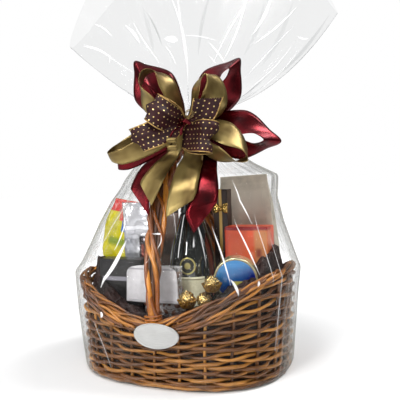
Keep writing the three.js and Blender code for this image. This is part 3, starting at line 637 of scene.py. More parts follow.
def add_border():
    """Rods rolled round each other along the wall's top, and rods that run into the wall at the front."""
    rods = wicker_material("border_rods", (50, 26, 9), (150, 86, 26), (230, 156, 62), 0.28)
    mesh = Mesh()
    angles = even_angles(420)
    rim = rim_height(angles)
    middle = np.exp(-(oval(angles, *MOUTH)[0] / 85) ** 2)
    for k in range(7):
        turn = angles * 7 + k / 7 * TAU + 0.8 * np.sin(angles * 5 + k * 2)
        z = rim - 0.5 + np.sin(turn) * (6.0 + 3.4 * middle) - 3.5 * middle
        path = wall_point(angles, z, 5 - np.cos(turn) * 5.6)
        tube(mesh, path, 2.5 + 0.4 * np.sin(angles * 9 + k), closed=True, seed=k * 1.3)
    tube(mesh, wall_point(angles, rim - 3, 6), 3.4, closed=True, seed=9)
    t = np.linspace(0, 1, 40)
    arch = np.sin(t * math.pi)
    for k in range(10):
        side, pair = -1 if k % 2 else 1, k // 2
        start, end = (-math.pi / 2 + side * reach for reach in (0.10 + 0.05 * pair, 0.75 + 0.16 * pair))
        a = np.linspace(start, end, 40)
        drop = (12 + 3.2 * pair) * (1 - smoothstep(t, 0.05, 0.75)) - 4 * smoothstep(t, 0.6, 1)
        weave = t * 15 + k * 1.9
        inset = -2.4 - 1.6 * arch + 4 * smoothstep(t, 0.85, 1) + 1.1 * np.cos(weave)
        tube(mesh, wall_point(a, rim_height(a) - drop + 3.0 * np.sin(weave) * arch, inset), 2.6, seed=20 + k)
    mesh.build("rim_rods", [rods], "rim_border", "rods")


def add_handle():
    """Rods twisted loosely round each other, over a dark core, and bound at both feet."""
    rods = wicker_material("handle_rods", (70, 31, 5), (182, 98, 20), (246, 166, 62), 0.2)
    core = wicker_material("handle_core", (34, 17, 6), (88, 46, 14), (126, 74, 26), 0.5)
    mesh = Mesh()
    t = np.linspace(0, 1, 240)
    a = math.pi * (1 + t)
    span, rise = HANDLE["span"], HANDLE["top"] - RIM_LOW
    out = unit(spots(0, np.cos(a) * rise, -np.sin(a) * span))
    middle = spots(0, np.cos(a) * span, RIM_LOW - np.sin(a) * rise)
    wide = HANDLE["foot"] - 3 + (HANDLE["wide"] - HANDLE["foot"]) * smoothstep(np.minimum(t, 1 - t), 0, 0.1)
    deep = HANDLE["thick"] - 4.2
    for k in range(7):
        turn = TAU * (k / 7 + 3.9 * t) + 0.5 * np.sin(t * 31 + k * 2.3)
        loose = 0.9 + 0.18 * np.sin(t * 23 + k * 1.9)
        path = middle + spots(np.cos(turn) * wide * loose, 0, 0) + np.sin(turn)[:, None] * deep * out
        tube(mesh, path, 3.9 + 0.6 * np.sin(t * 9 + k), sides=10, up=(1, 0, 0), seed=k * 2.1)
    for side in (-8, 0, 8):
        tube(mesh, middle + (side, 0, 0), 4.2, up=(1, 0, 0), slot=1, seed=30 + side)
    ring = turn_angles(28)
    for foot in middle[[0, -1]]:
        for k in range(3):
            turn = spots(np.cos(ring) * 15, np.sin(ring) * 10, 1.5 * np.sin(ring + k))
            path = foot + (0, 0, 6 + k * 5) + turn
            tube(mesh, path, 2.3, closed=True, seed=50 + k)
    mesh.build("handle_twist", [rods, core], "handle", "rods")


def add_tag():
    """A plate with a raised edge and an arched back, leaning very slightly."""
    half_wide, half_tall = 44.5, 22.5
    f = Finish("tag_white")
    brushed = f.noise(f.local(), (60, 4000, 900))
    colour = f.blend(brushed, rgb(172, 172, 170), rgb(196, 196, 194))
    plate = f.solid(colour, 0.35, Normal=f.bump(brushed, 0.05, 0.0004), Coat_Weight=0.4)
    # Share of the plate's half size, and how far behind its middle plane
    profile = [(0.02, -2.2), (0.6, -2.1), (0.84, -1.8), (0.9, -1.5), (0.925, -2.2), (0.955, -2.5),
               (0.985, -1.9), (1.0, -0.6), (0.99, 0.6), (0.9, 1.0), (0.02, 1.0)]
    scale, y = np.transpose(profile)[..., None]
    angle = turn_angles(72)
    points = spots(np.cos(angle) * half_wide * scale, y, np.sin(angle) * half_tall * scale)

    def place(p):
        p = p @ rotation(1, -0.5).T
        return p + spots(10, 0.0022 * p[..., 0] ** 2 - 165, 95)

    Mesh().put(points, place).build("oval_plate", [plate], "oval_tag", "tag_metal")


# Film

def neck_shift(z):
    """The film's middle moves over to the neck as it rises."""
    return NECK_X * smoothstep(z, 380, NECK_Z)


def film_reach(z):
    return [np.interp(z, FILM[0], reach) for reach in FILM[1:]]


def film_point(angle, z):
    left, right, front, back = film_reach(z)
    power = np.where(z > 300, ROUNDNESS + (2 - ROUNDNESS) * (z - 300) / (NECK_Z - 300), ROUNDNESS)
    cx, cy = signed_power(np.cos(angle), 2 / power), signed_power(np.sin(angle), 2 / power)
    corner = np.where((cx < 0) & (cy < 0), np.sin(2 * angle) ** 2, 0)
    drawn = 1 - np.interp(z, *SHOULDER) * corner
    x = neck_shift(z) + cx * drawn * np.where(cx > 0, right, left)
    return spots(x, cy * drawn * np.where(cy > 0, back, front), z)


def film_front(x, z):
    """The place of the film's front, seen along Y."""
    left, right, front, _ = film_reach(z)
    reach = np.minimum(1, np.abs(x - neck_shift(z)) / np.where(x > neck_shift(z), right, left))
    return -front * (1 - reach ** ROUNDNESS) ** (1 / ROUNDNESS)


def outward(p):
    """The way out from the film's middle line at points on it, level."""
    return unit((p - spots(neck_shift(p[..., 2]), 0, p[..., 2])) * (1, 1.3, 0))


def apart(angle, other):
    return (angle - other + math.pi) % TAU - math.pi


def body_creases(angle, z):
    """How far folds push the film out: long soft folds that run up to the neck, sharper near it."""
    fold = 1.2 * np.sin(angle * 9 + z * 0.02) * smoothstep(z, 190, 300) * (1 - smoothstep(z, 420, 460))
    near = smoothstep(z, 240, 460)
    for k in range(26):
        at = k / 26 * TAU + 0.12 * math.sin(k * 5.3)
        wide = 0.05 + 0.02 * math.sin(k * 2.7)
        strength = 0.7 + 2.6 * near * (0.6 + 0.4 * math.sin(k * 7.1))
        fold = fold + strength * np.exp(-(apart(angle + 0.10 * np.sin(z * 0.012 + k), at) / wide) ** 2)
    return fold


def flare_point(angle, s):
    """A place on the opened top of the film, s of the way from the neck to its free edge."""
    left = np.cos(angle) < 0
    reach, side_height, side_bend = (np.where(left, FLARE_LEFT[key], FLARE_RIGHT[key])
                                     for key in ("reach", "height", "bend"))
    share = np.abs(np.cos(angle))
    height = FLARE["height"] + (side_height - FLARE["height"]) * share ** 4
    height = height + FLARE["wave"] * np.cos(3 * angle + 0.6)
    bend = 1 + (side_bend - 1) * share ** 2
    ripple = FLARE["ripple"] * s * s * np.cos(FLARE["pleats"] * angle)
    aside = (1 - share) / 0.2
    pull = np.where(left, LEFT_PULL, 0) * s ** 3 * aside * np.exp(1 - aside)
    x = NECK_X + (NECK_R + reach * s) * np.cos(angle) + pull
    y = (NECK_R + FLARE["depth"] * s) * np.sin(angle) + ripple + flare_folds(angle, s)
    z = NECK_Z + 6 + height * (FLARE["rise"] * s + (1 - FLARE["rise"]) * s ** bend)
    return spots(x, y, z)


def flare_folds(angle, s):
    """Small radiating folds in the opened top of the film."""
    fold = 0 * angle
    for k in range(34):
        at = k / 34 * TAU + 0.09 * math.sin(k * 3.7)
        wide = 0.035 + 0.02 * math.sin(k * 1.3) ** 2
        strength = (1.5 + 0.9 * math.sin(k * 2.3)) * np.sin(math.pi * np.minimum(1, 0.15 + s)) ** 0.5
        fold = fold + strength * np.exp(-(apart(angle, at) / wide) ** 2) * np.minimum(1, s * 4)
    return fold


def add_film():
    """One sheet, from the middle of its underside up the body, through the neck and out to its free edge."""
    angle = turn_angles(288)
    rows = [spots(*oval(angle, FOOT[0] * scale, FOOT[1] * scale), 0.4) for scale in (0.02, 0.5, 0.9)]
    for t in (0.0, 0.5, 0.85):
        rows.append(spots(*oval(angle, FOOT[0] + 2 + 6 * t, FOOT[1] + 2 + 11 * t), 0.4 + 12 * t * t))
    for z in np.linspace(14, 470, 96):
        p = film_point(angle, z)
        share = (0.35 + 0.65 * smoothstep(z, 476, 380)) * min(1, z / 60)
        rows.append(p + outward(p) * (body_creases(angle, z) * share)[:, None])
    neck = NECK_R - 0.8 + 0.8 * np.cos(angle * 24)
    for z in (474, 478, 484, 488):
        rows.append(spots(NECK_X + np.cos(angle) * neck, np.sin(angle) * neck, z))
    rows += [flare_point(angle, s) for s in np.linspace(0.03, 1, 70)]
    points = np.array(rows)
    far = lengths(points[:, 60])[:, None]
    mesh = Mesh()
    mesh.grid(points, around=True, sheet=spots(np.abs(angle - math.pi) * 150, far, 0))
    mesh.build("clear_film", [film_material()], "film", "clear_film")


# Creases on the film's body: raised strips, each with a painted highlight that glows a little
BODY_GLINT_CREASES = [
    # angle and height at both ends, width, strength of the painted highlight
    (-101, 259, -111, 174, 9, 0.95), (-105, 292, -108, 240, 3, 0.8),
    (-48, 361, -33, 283, 3, 0.85), (-46, 292, -37, 199, 3, 0.9),
    (-61, 284, -55, 186, 3, 0.85), (-55, 196, -50, 167, 5, 0.8),
    (-90, 271, -87, 271, 3, 0.9), (-87, 271, -88, 245, 2, 0.85),
    (-112, 130, -112, 120, 8, 0.95), (-39, 190, -39, 180, 5, 0.8),
    (-132, 250, -133, 160, 2, 0.35), (-120, 320, -128, 230, 2, 0.35),
    (-150, 230, -140, 110, 2, 0.3), (-118, 110, -108, 30, 2, 0.3),
    (-30, 300, -28, 180, 2, 0.45), (-20, 260, -22, 60, 2, 0.35),
    (-75, 340, -66, 250, 2, 0.5), (-84, 330, -80, 262, 2, 0.35), (-70, 300, -66, 215, 2, 0.4),
    (60, 330, 50, 200, 3, 0.5), (95, 350, 100, 220, 3, 0.5), (130, 340, 140, 190, 3, 0.5),
    (160, 300, 165, 120, 3, 0.4), (20, 320, 15, 150, 3, 0.45),
]
# Creases on the opened top: raised strips with painted highlights, and painted shade where the strength is
# below nothing
FLARE_GLINT_CREASES = [
    # angle and percent of the way out at both ends, width, strength of the painted highlight: below nothing
    # it is a painted shade
    (270, 70, 282, 22, 3, 1.0), (307, 82, 308, 46, 3, 0.9), (319, 86, 318, 66, 5, 0.9),
    (333, 88, 321, 63, 3, 0.8), (294, 50, 310, 46, 3, 0.8), (294, 44, 307, 42, 2, 0.4),
    (274, 48, 302, 54, 2, 0.4), (342, 80, 340, 42, 2, 0.4), (348, 80, 350, 48, 2, 0.4),
    (341, 80, 349, 84, 3, 0.5), (194, 88, 206, 62, 4, 0.9), (208, 86, 216, 67, 3, 0.5),
    (229, 65, 235, 50, 5, 0.8), (260, 47, 272, 45, 12, 0.6), (258, 44, 268, 30, 2, 0.5),
    (250, 64, 256, 43, 4, -0.5), (248, 68, 245, 40, 9, -0.2), (317, 80, 319, 56, 9, -0.2),
    (330, 88, 333, 58, 9, -0.2), (352, 96, 350, 60, 7, -0.4), (206, 65, 201, 62, 3, 0.5),
    (100, 90, 96, 30, 3, 0.7), (60, 85, 70, 35, 3, 0.7), (135, 80, 125, 40, 3, 0.6),
    (30, 85, 40, 45, 3, 0.5), (160, 85, 150, 50, 3, 0.5), (80, 80, 84, 40, 8, -0.3),
]


def add_glint_strip(mesh, surface, sideways, wide, strength):
    """A raised strip along a line on the film, faint at its ends, that carries a painted highlight or, where
    its strength is below nothing, a painted shade.
    """
    t = np.linspace(0, 1, len(surface))[:, None]
    across = np.linspace(-1, 1, 5)
    side = unit(np.cross(tangents(surface), sideways))[:, None]
    taper = np.sin(np.clip(t, 0.02, 0.98) * math.pi) ** 0.6 * wide / 2
    ridge = (1 - np.abs(across)) * 1.2
    points = surface[:, None] + side * (across * taper)[..., None] + sideways[:, None] * ridge[:, None]
    # How strong the painted highlight is, or below nothing the painted shade, faint at the strip's ends
    power = strength * (1 - 0.4 * np.abs(across)) * np.sin(np.clip(t, 0.04, 0.96) * math.pi) ** 0.4
    mesh.grid(points, sheet=spots(across * wide, t * 90, 0), strength=power[..., None])


# Painted highlights and painted shade, as raised strips along the film's creases
def add_film_glints():
    mesh = Mesh()
    t = np.linspace(0, 1, 24)
    bow = np.sin(t * math.pi)
    for a0, z0, a1, z1, wide, strength in BODY_GLINT_CREASES:
        angle, z = np.radians(a0 + (a1 - a0) * t) + bow * 0.012, z0 + (z1 - z0) * t
        p = film_point(angle, z)
        way = outward(p)
        add_glint_strip(mesh, p + way * (body_creases(angle, z) + 0.9)[:, None], way, wide, strength)
    for a0, s0, a1, s1, wide, strength in FLARE_GLINT_CREASES:
        angle, share = np.radians(a0 + (a1 - a0) * t) + bow * 0.02, (s0 + (s1 - s0) * t) / 100
        p = flare_point(angle, share)
        way = 0 * p + (0, 1 if a0 < 180 else -1, 0)
        add_glint_strip(mesh, p + way, way, wide, strength)
    mesh.build("film_glint_creases", [glint_crease_material()], None, "clear_film")


# Bow

def bow_point(aside, up, front):
    c, s = math.cos(BOW_TURN), math.sin(BOW_TURN)
    return np.array([NECK_X + aside * c + front * s, aside * s - front * c, BOW_Z + up])


def loop(hub, angle, front, outer, inner, opening, tip=0.6, lift=17, bulge=0, start=(0, 0), pinch=0.3):
    """The middle and half width of a loop's ribbon, from the hub round the tip and back.

    outer and inner are the ribbon's two edges. Each has how far out it reaches, how far it opens
    to either side, how it is shifted, how it leans and, where it isn't the loop's, its lift.
    opening is how much of its width the inner edge, the rim of the eye, has at three stations
    on the way out, and tip that of the outer.
    """
    c, s = math.cos(math.radians(angle)), math.sin(math.radians(angle))

    def edge_point(along, share, layer, raised, reach, half, shift=0, lean=0, own_lift=None):
        spread = pinch + (1 - pinch) * smoothstep(along, 0, 0.35)
        rise = smoothstep(along, 0, 0.6)
        out = reach * along
        side = half * share * layer + shift * spread + lean * along * along
        lifted = (raised if own_lift is None else own_lift) * spread
        forward = hub + (front - hub) * rise + lifted + bulge * layer * rise
        return bow_point(start[0] + c * out - s * side, start[1] + s * out + c * side, forward)

    way_out = list(zip((0, 0.28, 0.6, 0.88), (0.1, 0.72, 1, tip), (0.1, *opening)))
    stations = []
    for layer, order in ((-1, way_out), (0, [(1, 0, 0)]), (1, way_out[::-1])):
        for along, full, eye in order:
            a = edge_point(along, full, layer, -lift, *outer)
            b = edge_point(along, eye, layer, lift, *inner)
            stations.append(((a + b) / 2, (a - b) / 2))
    return stations


def tail(hub, clear, rows):
    """A hanging end. Each row has the place of its left edge, of its right edge, and its stand-off."""
    top = bow_point(0, -6, hub)
    stations = [(top, np.array([7.0, 0, 0]))]
    for x0, z0, x1, z1, out in rows:
        left, right = (np.array([x, min(top[1], film_front(x, z) - clear) - out, z])
                       for x, z in ((x0, z0), (x1, z1)))
        stations.append(((left + right) / 2, (right - left) / 2))
    return stations


def ribbon(mesh, stations, steps=72, columns=9, crown=0.3, ripple=0.25, folds=(), seed=0.0, slot=0, wire=None,
           pinked=False):
    """A strip of cloth through the stations, a little crowned and rippled. Its area is given back.

    Each fold is a crisp ridge: its place across, how that slants along the strip, and its height.
    """
    middle, half = (catmull(part, steps) for part in zip(*stations))
    along = tangents(middle)
    normal = unit(np.cross(along, half))
    across = np.linspace(-1, 1, columns)
    far = lengths(middle)
    run = far[:, None]
    wave = np.sin(run * 0.11 + across * 2.2 + seed) + 0.6 * np.sin(run * 0.23 - across + seed * 2)
    lift = crown * (1 - across ** 2) + ripple * wave
    share = np.linspace(-0.5, 0.5, steps)[:, None]
    for place, slant, height in folds:
        off = np.abs(across - place - slant * share)
        lift = lift + height * np.maximum(0, 1 - off / 0.5) * np.cos(math.pi * share)
    points = middle[:, None] + half[:, None] * across[:, None] + normal[:, None] * lift[..., None]
    if pinked:
        points[-1] += along[-1] * (1.3 * (-1.0) ** np.arange(columns))[:, None]
    wide = np.linalg.norm(half, axis=1)
    mesh.grid(points, slot=slot, cloth=spots(run + seed * 37, wide[:, None] * across, 0))
    if wire:
        for side in (0, -1):
            tube(mesh, points[:, side], wire + 0.12 * np.sin(far * 2.4), 6, slot=1, up=normal[steps // 2])
    return float((np.diff(far) * (wide[1:] + wide[:-1])).sum())


def add_strips(colour, material, node, loops, tails, seed):
    """A satin ribbon of the bow: all its loops and hanging ends."""
    mesh = Mesh()
    hub = HUBS[colour]
    strips = [loop(hub, *sizes) for sizes in loops] + [tail(hub, *sizes) for sizes in tails]
    area = sum(ribbon(mesh, strip, seed=seed + k) for k, strip in enumerate(strips))
    piece = mesh.build(f"{colour}_ribbon", [material], node, f"{colour}_satin", 0.7)


def add_burgundy(material):
    add_strips("burgundy", material, "bow_burgundy", [
        (124.5, 66, (151, 43, 8), (106, -1, 15), (0.0, 0.15, 1.0), 0.34, 14),
        (53.5, 90, (153, 42, -17), (121, 5, -14), (0.02, 0.04, 0.95), 0.34, 16),
        (-11.5, 91, (180, 45, -6, 0, -12), (146, 8, -11), (0.02, 0.06, 1.1), 0.36, 16),
        (208, 76, (140, 6, -6, 0, 5), (152, 10, 28, -16, -5), (0.2, 0.65, 0.8), 0.6, 17, 8),
    ], [
        (9, [(60, 411, 93, 408, 0), (69, 377, 111, 376, 9), (73, 346, 119, 345, 11),
             (72, 322, 118, 326, 10.5), (68, 304, 116, 322, 7), (82, 273, 108, 312, 0)]),
        (9, [(-24, 410, 12, 404, 0), (-46, 385, 2, 369, 2), (-54, 353, -8, 333, 1), (-52, 348, -5, 302, 0)]),
    ], 0)


def add_gold(material):
    add_strips("gold", material, "bow_gold", [
        (130, 108, (107, 38, 8, -14), (113, 17, 8, -12), (0.03, 0.6, 1.0), 0.62, 15),
        (58.5, 127, (97, 34, -24, 12), (86, 5, -12, 16), (0.05, 0.6, 1.0), 0.66, 15),
        (-31, 129, (127, 36), (133, 11, -9), (0.02, 0.3, 1.0), 0.62, 15),
        (204, 112, (148, 9, -13, 5, 6), (149, 15, 27, -20, -6), (0.2, 0.65, 0.8), 0.66, 17, 13),
    ], [
        (18, [(8, 418, 34, 414, 0), (-8, 396, 28, 388, 6), (-22, 372, 20, 362, 8), (-26, 359, 5, 321, 6)]),
        (20, [(42, 414, 78, 406, 0), (40, 386, 85, 380, 6), (37, 352, 86, 354, 8), (36, 316, 85, 340, 7),
              (36, 301, 80, 329, 4)]),
    ], 20)


def add_dotted():
    """Three folded panels and a free end with a pinked edge, all with gilt wire along both sides."""
    def panel(angle, front, upper, lower, **more):
        edges = ((reach, 2, shift, lean, lift) for (reach, shift, lean), lift in ((upper, -10), (lower, 10)))
        return loop(HUBS["dotted"], angle, front, *edges, (0.7, 1, 0.6), bulge=11, **more)

    def flag(aside, up, front, half, tilt):
        at = bow_point(aside, up, front)
        return at, bow_point(aside + half, up + tilt, front) - at

    strips = [
        (panel(154, 150, (58, -20, -4), (58, 31, -6), start=(0, -3)), [(-0.1, 0.5, 8.0)]),
        (panel(199.5, 150, (92, -20, 0), (80, 26, 0), start=(0, -4)), [(0.2, -0.6, 7.5)]),
        (panel(-5, 152, (61, 26, 0), (53, -28, 0), start=(-2, -30), pinch=0.7),
         [(-0.15, 0.9, 9.0), (0.6, 0.7, -4.0)]),
        ([flag(2, -6, 132, 8, 0), flag(31, -1, 146, 19, -5), flag(45, 31, 152, 25, 0)], [(-0.2, 0.3, 3.0)]),
    ]
    mesh = Mesh()
    area = sum(ribbon(mesh, strip, columns=25, crown=0.8, folds=folds, seed=40 + k, wire=0.8, pinked=k == 3)
               for k, (strip, folds) in enumerate(strips))
    f = Finish("gold_edge")
    rough = f.noise(f.local("rod"), (1.2, 1.2, 0))
    gilt = f.solid(f.blend(rough, rgb(96, 66, 34), rgb(222, 184, 112)), 0.35, Metallic=0.8,
                   Normal=f.bump(rough, 0.6, 0.0006))
    piece = mesh.build("dotted_ribbon", [dotted_material(), gilt], "bow_dotted", "dotted_sheer", 0.6)


def add_bow():
    burgundy = satin_material("burgundy_satin", (44, 2, 7), (120, 12, 24), 0.26, 0.8)
    gold = satin_material("gold_satin", (86, 66, 30), (160, 140, 86), 0.34, 0.72)
    add_burgundy(burgundy)
    add_gold(gold)
    add_dotted()
    add_tie(gold)
    add_curled_ends(gold, burgundy)


def add_tie(gold):
    """The tie round the film's neck, and the strap from it to the bow."""
    mesh = Mesh()
    a = turn_angles(80)
    for k, (z, radius) in enumerate(((477.5, 22.4), (480.5, 23.6), (483.5, 23.6), (486.5, 22.6))):
        r = radius + 0.6 * np.sin(a * 7 + k * 2)
        path = spots(NECK_X + np.cos(a) * r, np.sin(a) * r, z + 0.6 * np.sin(a * 3 + k))
        tube(mesh, path, 2.3, closed=True)
    mesh.attributes["cloth"] = list(mesh.attributes["rod"])
    back, front = bow_point(0, 8, 23), bow_point(0, 8, 118)
    half = np.array([5.0, 1.9, 0])
    ribbon(mesh, [(back, half), ((back + front) / 2, half), (front, half)], steps=20, columns=5)
    mesh.build("neck_tie", [gold], "tie_ribbon", "tie_gold")


def add_curled_ends(gold, burgundy):
    """The curled ends of ribbon and the crumpled knot in the middle of the bow."""
    curls = Mesh()
    add_curl(curls, 2.1, (13, 4, 166), 8.0, False)
    add_curl(curls, 1.4, (-19, -39, 166), 5.6, True)
    add_curl(curls, 1.4, (-18, -51, 164), 5.6, True)
    half = np.array([2.6, 0.6, 2.2])
    for a0, u0, a1, u1 in ((-5, -17, -21, -34), (4, -14, -2, -30), (0, -6, 14, -12)):
        at0, at1 = bow_point(a0, u0, 160), bow_point(a1, u1, 164)
        stations = [(at0, half), ((at0 + at1) / 2 + (0, -5, 3), half * 1.2), (at1, half * 0.8)]
        ribbon(curls, stations, steps=24, columns=5, slot=1)
    for k in range(9):
        a, b = k * 2.4, k * 1.7
        half = np.array([2.5 * math.cos(b), 3.0, 5.0 * math.sin(b + 1)])
        way = np.array([math.cos(a) * 7, math.sin(a) * 7, 16 * math.sin(b)])
        stations = [(bow_point(*way * r + (0, -6, 128)), half) for r in (-1, 0.1, 1)]
        ribbon(curls, stations, steps=24, columns=5, crown=1.0, slot=1, seed=80 + k)
    curls.build("curled_ends", [gold, burgundy], None, "gold_satin", 0.5)


def add_curl(mesh, turns, at, size, sideways):
    """A rolled end of ribbon, seen along its axis or, when it lies sideways, from its side."""
    stations = []
    for share in np.linspace(0, 1, 22):
        radius = size * (1 - 0.5 * share)
        c, s = (way(TAU * turns * share) * radius for way in (math.cos, math.sin))
        edges = ((-8, s, c), (8, s, c)) if sideways else ((c, s, -3.5), (c, s, 3.5))
        low, high = (bow_point(*np.add(at, edge)) for edge in edges)
        stations.append(((low + high) / 2, (high - low) / 2))
    ribbon(mesh, stations, steps=90, columns=5, crown=0, ripple=0, seed=60)


# Packs

def add_bag(name, node, slot, size, place, material, dents, seed, round_ends=0.0):
    """A pillow bag with flat pleated seams at its top and bottom."""
    wide, tall, deep = size
    t = np.linspace(0, 1, 64)[:, None]
    swell = np.sin(math.pi * t) ** 0.55
    half_deep = (0.12 + 0.88 * swell) * deep / 2
    corner = round_ends * smoothstep(np.abs(2 * t - 1), 0.25, 1.1)
    half_wide = wide / 2 * (1 - 0.06 * swell - corner)
    a = turn_angles(96)
    power = 2 / (8 + (2.4 - 8) * swell)
    x = signed_power(np.cos(a), power) * half_wide
    y = signed_power(np.sin(a), power) * half_deep
    p = spots(x, y, (t - 0.5) * tall)
    way = unit(spots(x * 0.15, y * 2 + 1e-6, 0))
    seam = np.exp(-((np.abs(p[..., 2]) - tall / 2) / (tall * 0.10)) ** 2)
    push = crinkle(p, 1.0, 16, seed) - 1.0 + seam * np.sin(x * 0.55 + seed)
    p = p + way * (push * dents * np.minimum(1, np.abs(y) / 3))[..., None]
    Mesh().put(p, place).build(name, [material], node, slot)


def add_carton(name, node, slot, size, place, material):
    """A folded carton: faces with a little swell and pressed edges."""
    half, tall = np.array(size[:2]) / 2, size[2]
    bevel, edge_cut, dents = 1.2, 0.6, 0.25
    s = np.linspace(-1, 1, 14)
    v = (np.sign(s) * (1 - (1 - np.abs(s)) ** 1.6))[:-1]
    one = np.ones(len(v))
    ring = np.concatenate([np.stack(side, -1) for side in ((v, -one), (one, v), (-v, one), (-one, -v))])
    heights = np.array([0, bevel * 0.3, *np.linspace(bevel, tall - bevel, 22), tall - bevel * 0.3, tall])
    insets = np.array([bevel, bevel * 0.3, *[0] * 22, bevel * 0.3, bevel])
    cut = np.where(np.abs(ring).min(axis=1) > 0.985, edge_cut, 0)[:, None]
    outline = ring * (half - insets[:, None, None]) - np.sign(ring) * cut
    p = spots(outline[..., 0], outline[..., 1], heights[:, None])
    face = np.where(np.abs(ring) > 0.999, np.sign(ring), 0)
    p = p + unit(spots(face[:, 0], face[:, 1], 0)) * (crinkle(p, dents, 30, 3) - dents)[..., None]
    lid = ring * (half - bevel)
    bottom, top = ([spots(*(lid * share).T, height) for share in shares]
                   for height, shares in ((0, (0.02, 0.33, 0.66)), (tall, (0.66, 0.33, 0.02))))
    Mesh().put(np.concatenate([bottom, p, top]), place).build(name, [material], node, slot, smooth=False)


def add_soft_packs():
    yellow = print_finish("yellow_wrap", (192, 182, 0), [
        (-52, 52, 58, 83, (196, 40, 34)), (-10, 30, 40, 60, (208, 52, 44)), (-2, 26, 18, 42, (42, 96, 170)),
        (4, 20, 28, 40, (96, 168, 74)), (-30, 12, -12, 4, (120, 140, 16), 4),
        (-36, 20, -60, -40, (160, 170, 20), 6),
    ], 0.25, dents=0.5, scale=60)
    silver = print_finish("silver_wrap", (196, 196, 200), [
        (-30, 34, 30, 88, (232, 232, 236), 5), (4, 26, -40, 26, (52, 44, 48), 1),
        (8, 14, -30, 10, (130, 60, 48), 1.5), (-40, -10, -30, 30, (168, 170, 176), 8),
    ], 0.2, 0.6, 1.0, 42)
    brown = print_finish("brown_wrap", (88, 62, 52), [
        (-22, 22, 50, 96, (120, 104, 96), 6), (-10, 10, 10, 40, (58, 40, 34), 3),
    ], 0.4, dents=0.7, scale=60)
    add_bag("yellow_pack", "yellow_bag", "yellow_pack", (104, 166, 30), posed(-138, -9, 243, 10), yellow,
            0.8, 4, 0.44)
    add_bag("silver_pack", "silver_bag", "silver_pack", (78, 184, 28), posed(-79, -45, 230), silver, 2.2, 7)
    add_bag("brown_wrap", "brown_pack", "brown_pack", (44, 190, 34), posed(-50, 27, 200), brown, 1.0, 9)


def add_cartons():
    cartons = [
        # piece, solid, print, size, place, ground colour, roughness, grain, fields
        ("dark_carton", "dark_box", "dark_card", (92, 32, 126), (-98, -79, 90), (12, 10, 11), 0.4, 40, [
            (-40, 30, 84, 92, (128, 126, 134), 0.8), (-36, 34, 94, 122, (16, 13, 14), 2),
            (-36, -10, 60, 76, (36, 32, 34), 6), (-44, 44, 4, 30, (26, 16, 15), 4),
        ]),
        ("tall_carton", "tall_pack", "grey_card", (36, 20, 272), (-64, 58, 104), (84, 84, 84), 0.4, 40, [
            (-16, 16, 228, 268, (222, 222, 220), 1), (-16, 16, 190, 224, (110, 106, 104), 4),
        ]),
        ("ribboned_box", "tied_box", "chocolate_card", (30, 26, 200), (68, 34, 142), (44, 26, 18), 0.35, 90, [
            (-3, 3, 0, 200, (196, 158, 78), 0.6),
        ]),
        ("orange_carton", "orange_box", "orange_card", (86, 46, 138), (128, 18, 132), (228, 84, 36),
         0.35, 40, [
            (-43, 43, 131, 138, (150, 24, 30), 0.8), (16, 43, 0, 131, (208, 134, 80), 3),
            (-43, -36, 0, 131, (204, 60, 24), 2), (-30, 10, 60, 110, (230, 96, 46), 12),
            (20, 30, 80, 96, (150, 70, 50), 3), (8, 14, 30, 90, (226, 140, 104), 2),
        ]),
    ]
    for name, node, card, size, at, ground, rough, scale, fields in cartons:
        material = print_finish(card, ground, fields, rough, 0.0, 0.1, scale)
        add_carton(name, node, card, size, posed(*at), material)


def add_paper_bag():
    """A light brown bag with its top folded flat and its sides pushed in."""
    wide, top_wide, tall, deep, edge = 132, 108, 182, 38, 6
    kraft = print_finish("kraft_paper", (194, 185, 168), [
        (-40, 40, 100, 150, (204, 196, 180), 10), (-30, 30, 46, 60, (168, 156, 138), 4),
        (-60, 60, 0, 8, (140, 122, 104), 2),
    ], 0.75, dents=0.35, scale=70, coat=0.0)
    t = np.linspace(0, 1, 60)[:, None]
    half_wide = (wide + (top_wide - wide) * t) / 2
    half_deep = (deep + (edge - deep) * smoothstep(t, 0.25, 0.97)) / 2
    a = turn_angles(96)
    x = signed_power(np.cos(a), 0.22) * half_wide
    y = signed_power(np.sin(a), 0.22) * half_deep
    end = smoothstep(np.abs(x) / half_wide, 0.9, 1.0) * smoothstep(t, 0.1, 0.6)
    x = x - np.sign(x) * np.exp(-(y / 4) ** 2) * end * 6
    p = spots(x, y, t * tall)
    z = p[..., 2]
    fold = -1.2 * np.exp(-((z - 150) / 1.2) ** 2) - 0.8 * np.exp(-((z - 166) / 1.2) ** 2)
    push = (crinkle(p, 0.9, 22, 21) - 0.9 + fold) * np.minimum(1, np.abs(y) / 2)
    p = p + spots(0, np.sign(y) * push, 0)
    Mesh().put(p, posed(108, 70, 186, -2)).build("folded_bag", [kraft], "paper_bag", "kraft_paper")


def bag_film():
    f = Finish("bag_film")
    wrinkle = f.noise(f.local(), 60, 4, 0.6, 1.0)
    ridge = f.math("SUBTRACT", 1.0, f.math("ABSOLUTE", wrinkle - 0.5) * 16, clamp=True)
    edge = f.node("LayerWeight", {"Blend": 0.4}, "Facing")
    veil = f.math("ADD", 0.10, ridge * 0.35 + edge * 0.3, clamp=True)
    gloss = f.shader((0.95, 0.95, 0.95), 0.08, Normal=f.bump(wrinkle, 0.8, 0.003))
    return f.done(f.mixed(veil, f.clear((0.97, 0.96, 0.95)), gloss))


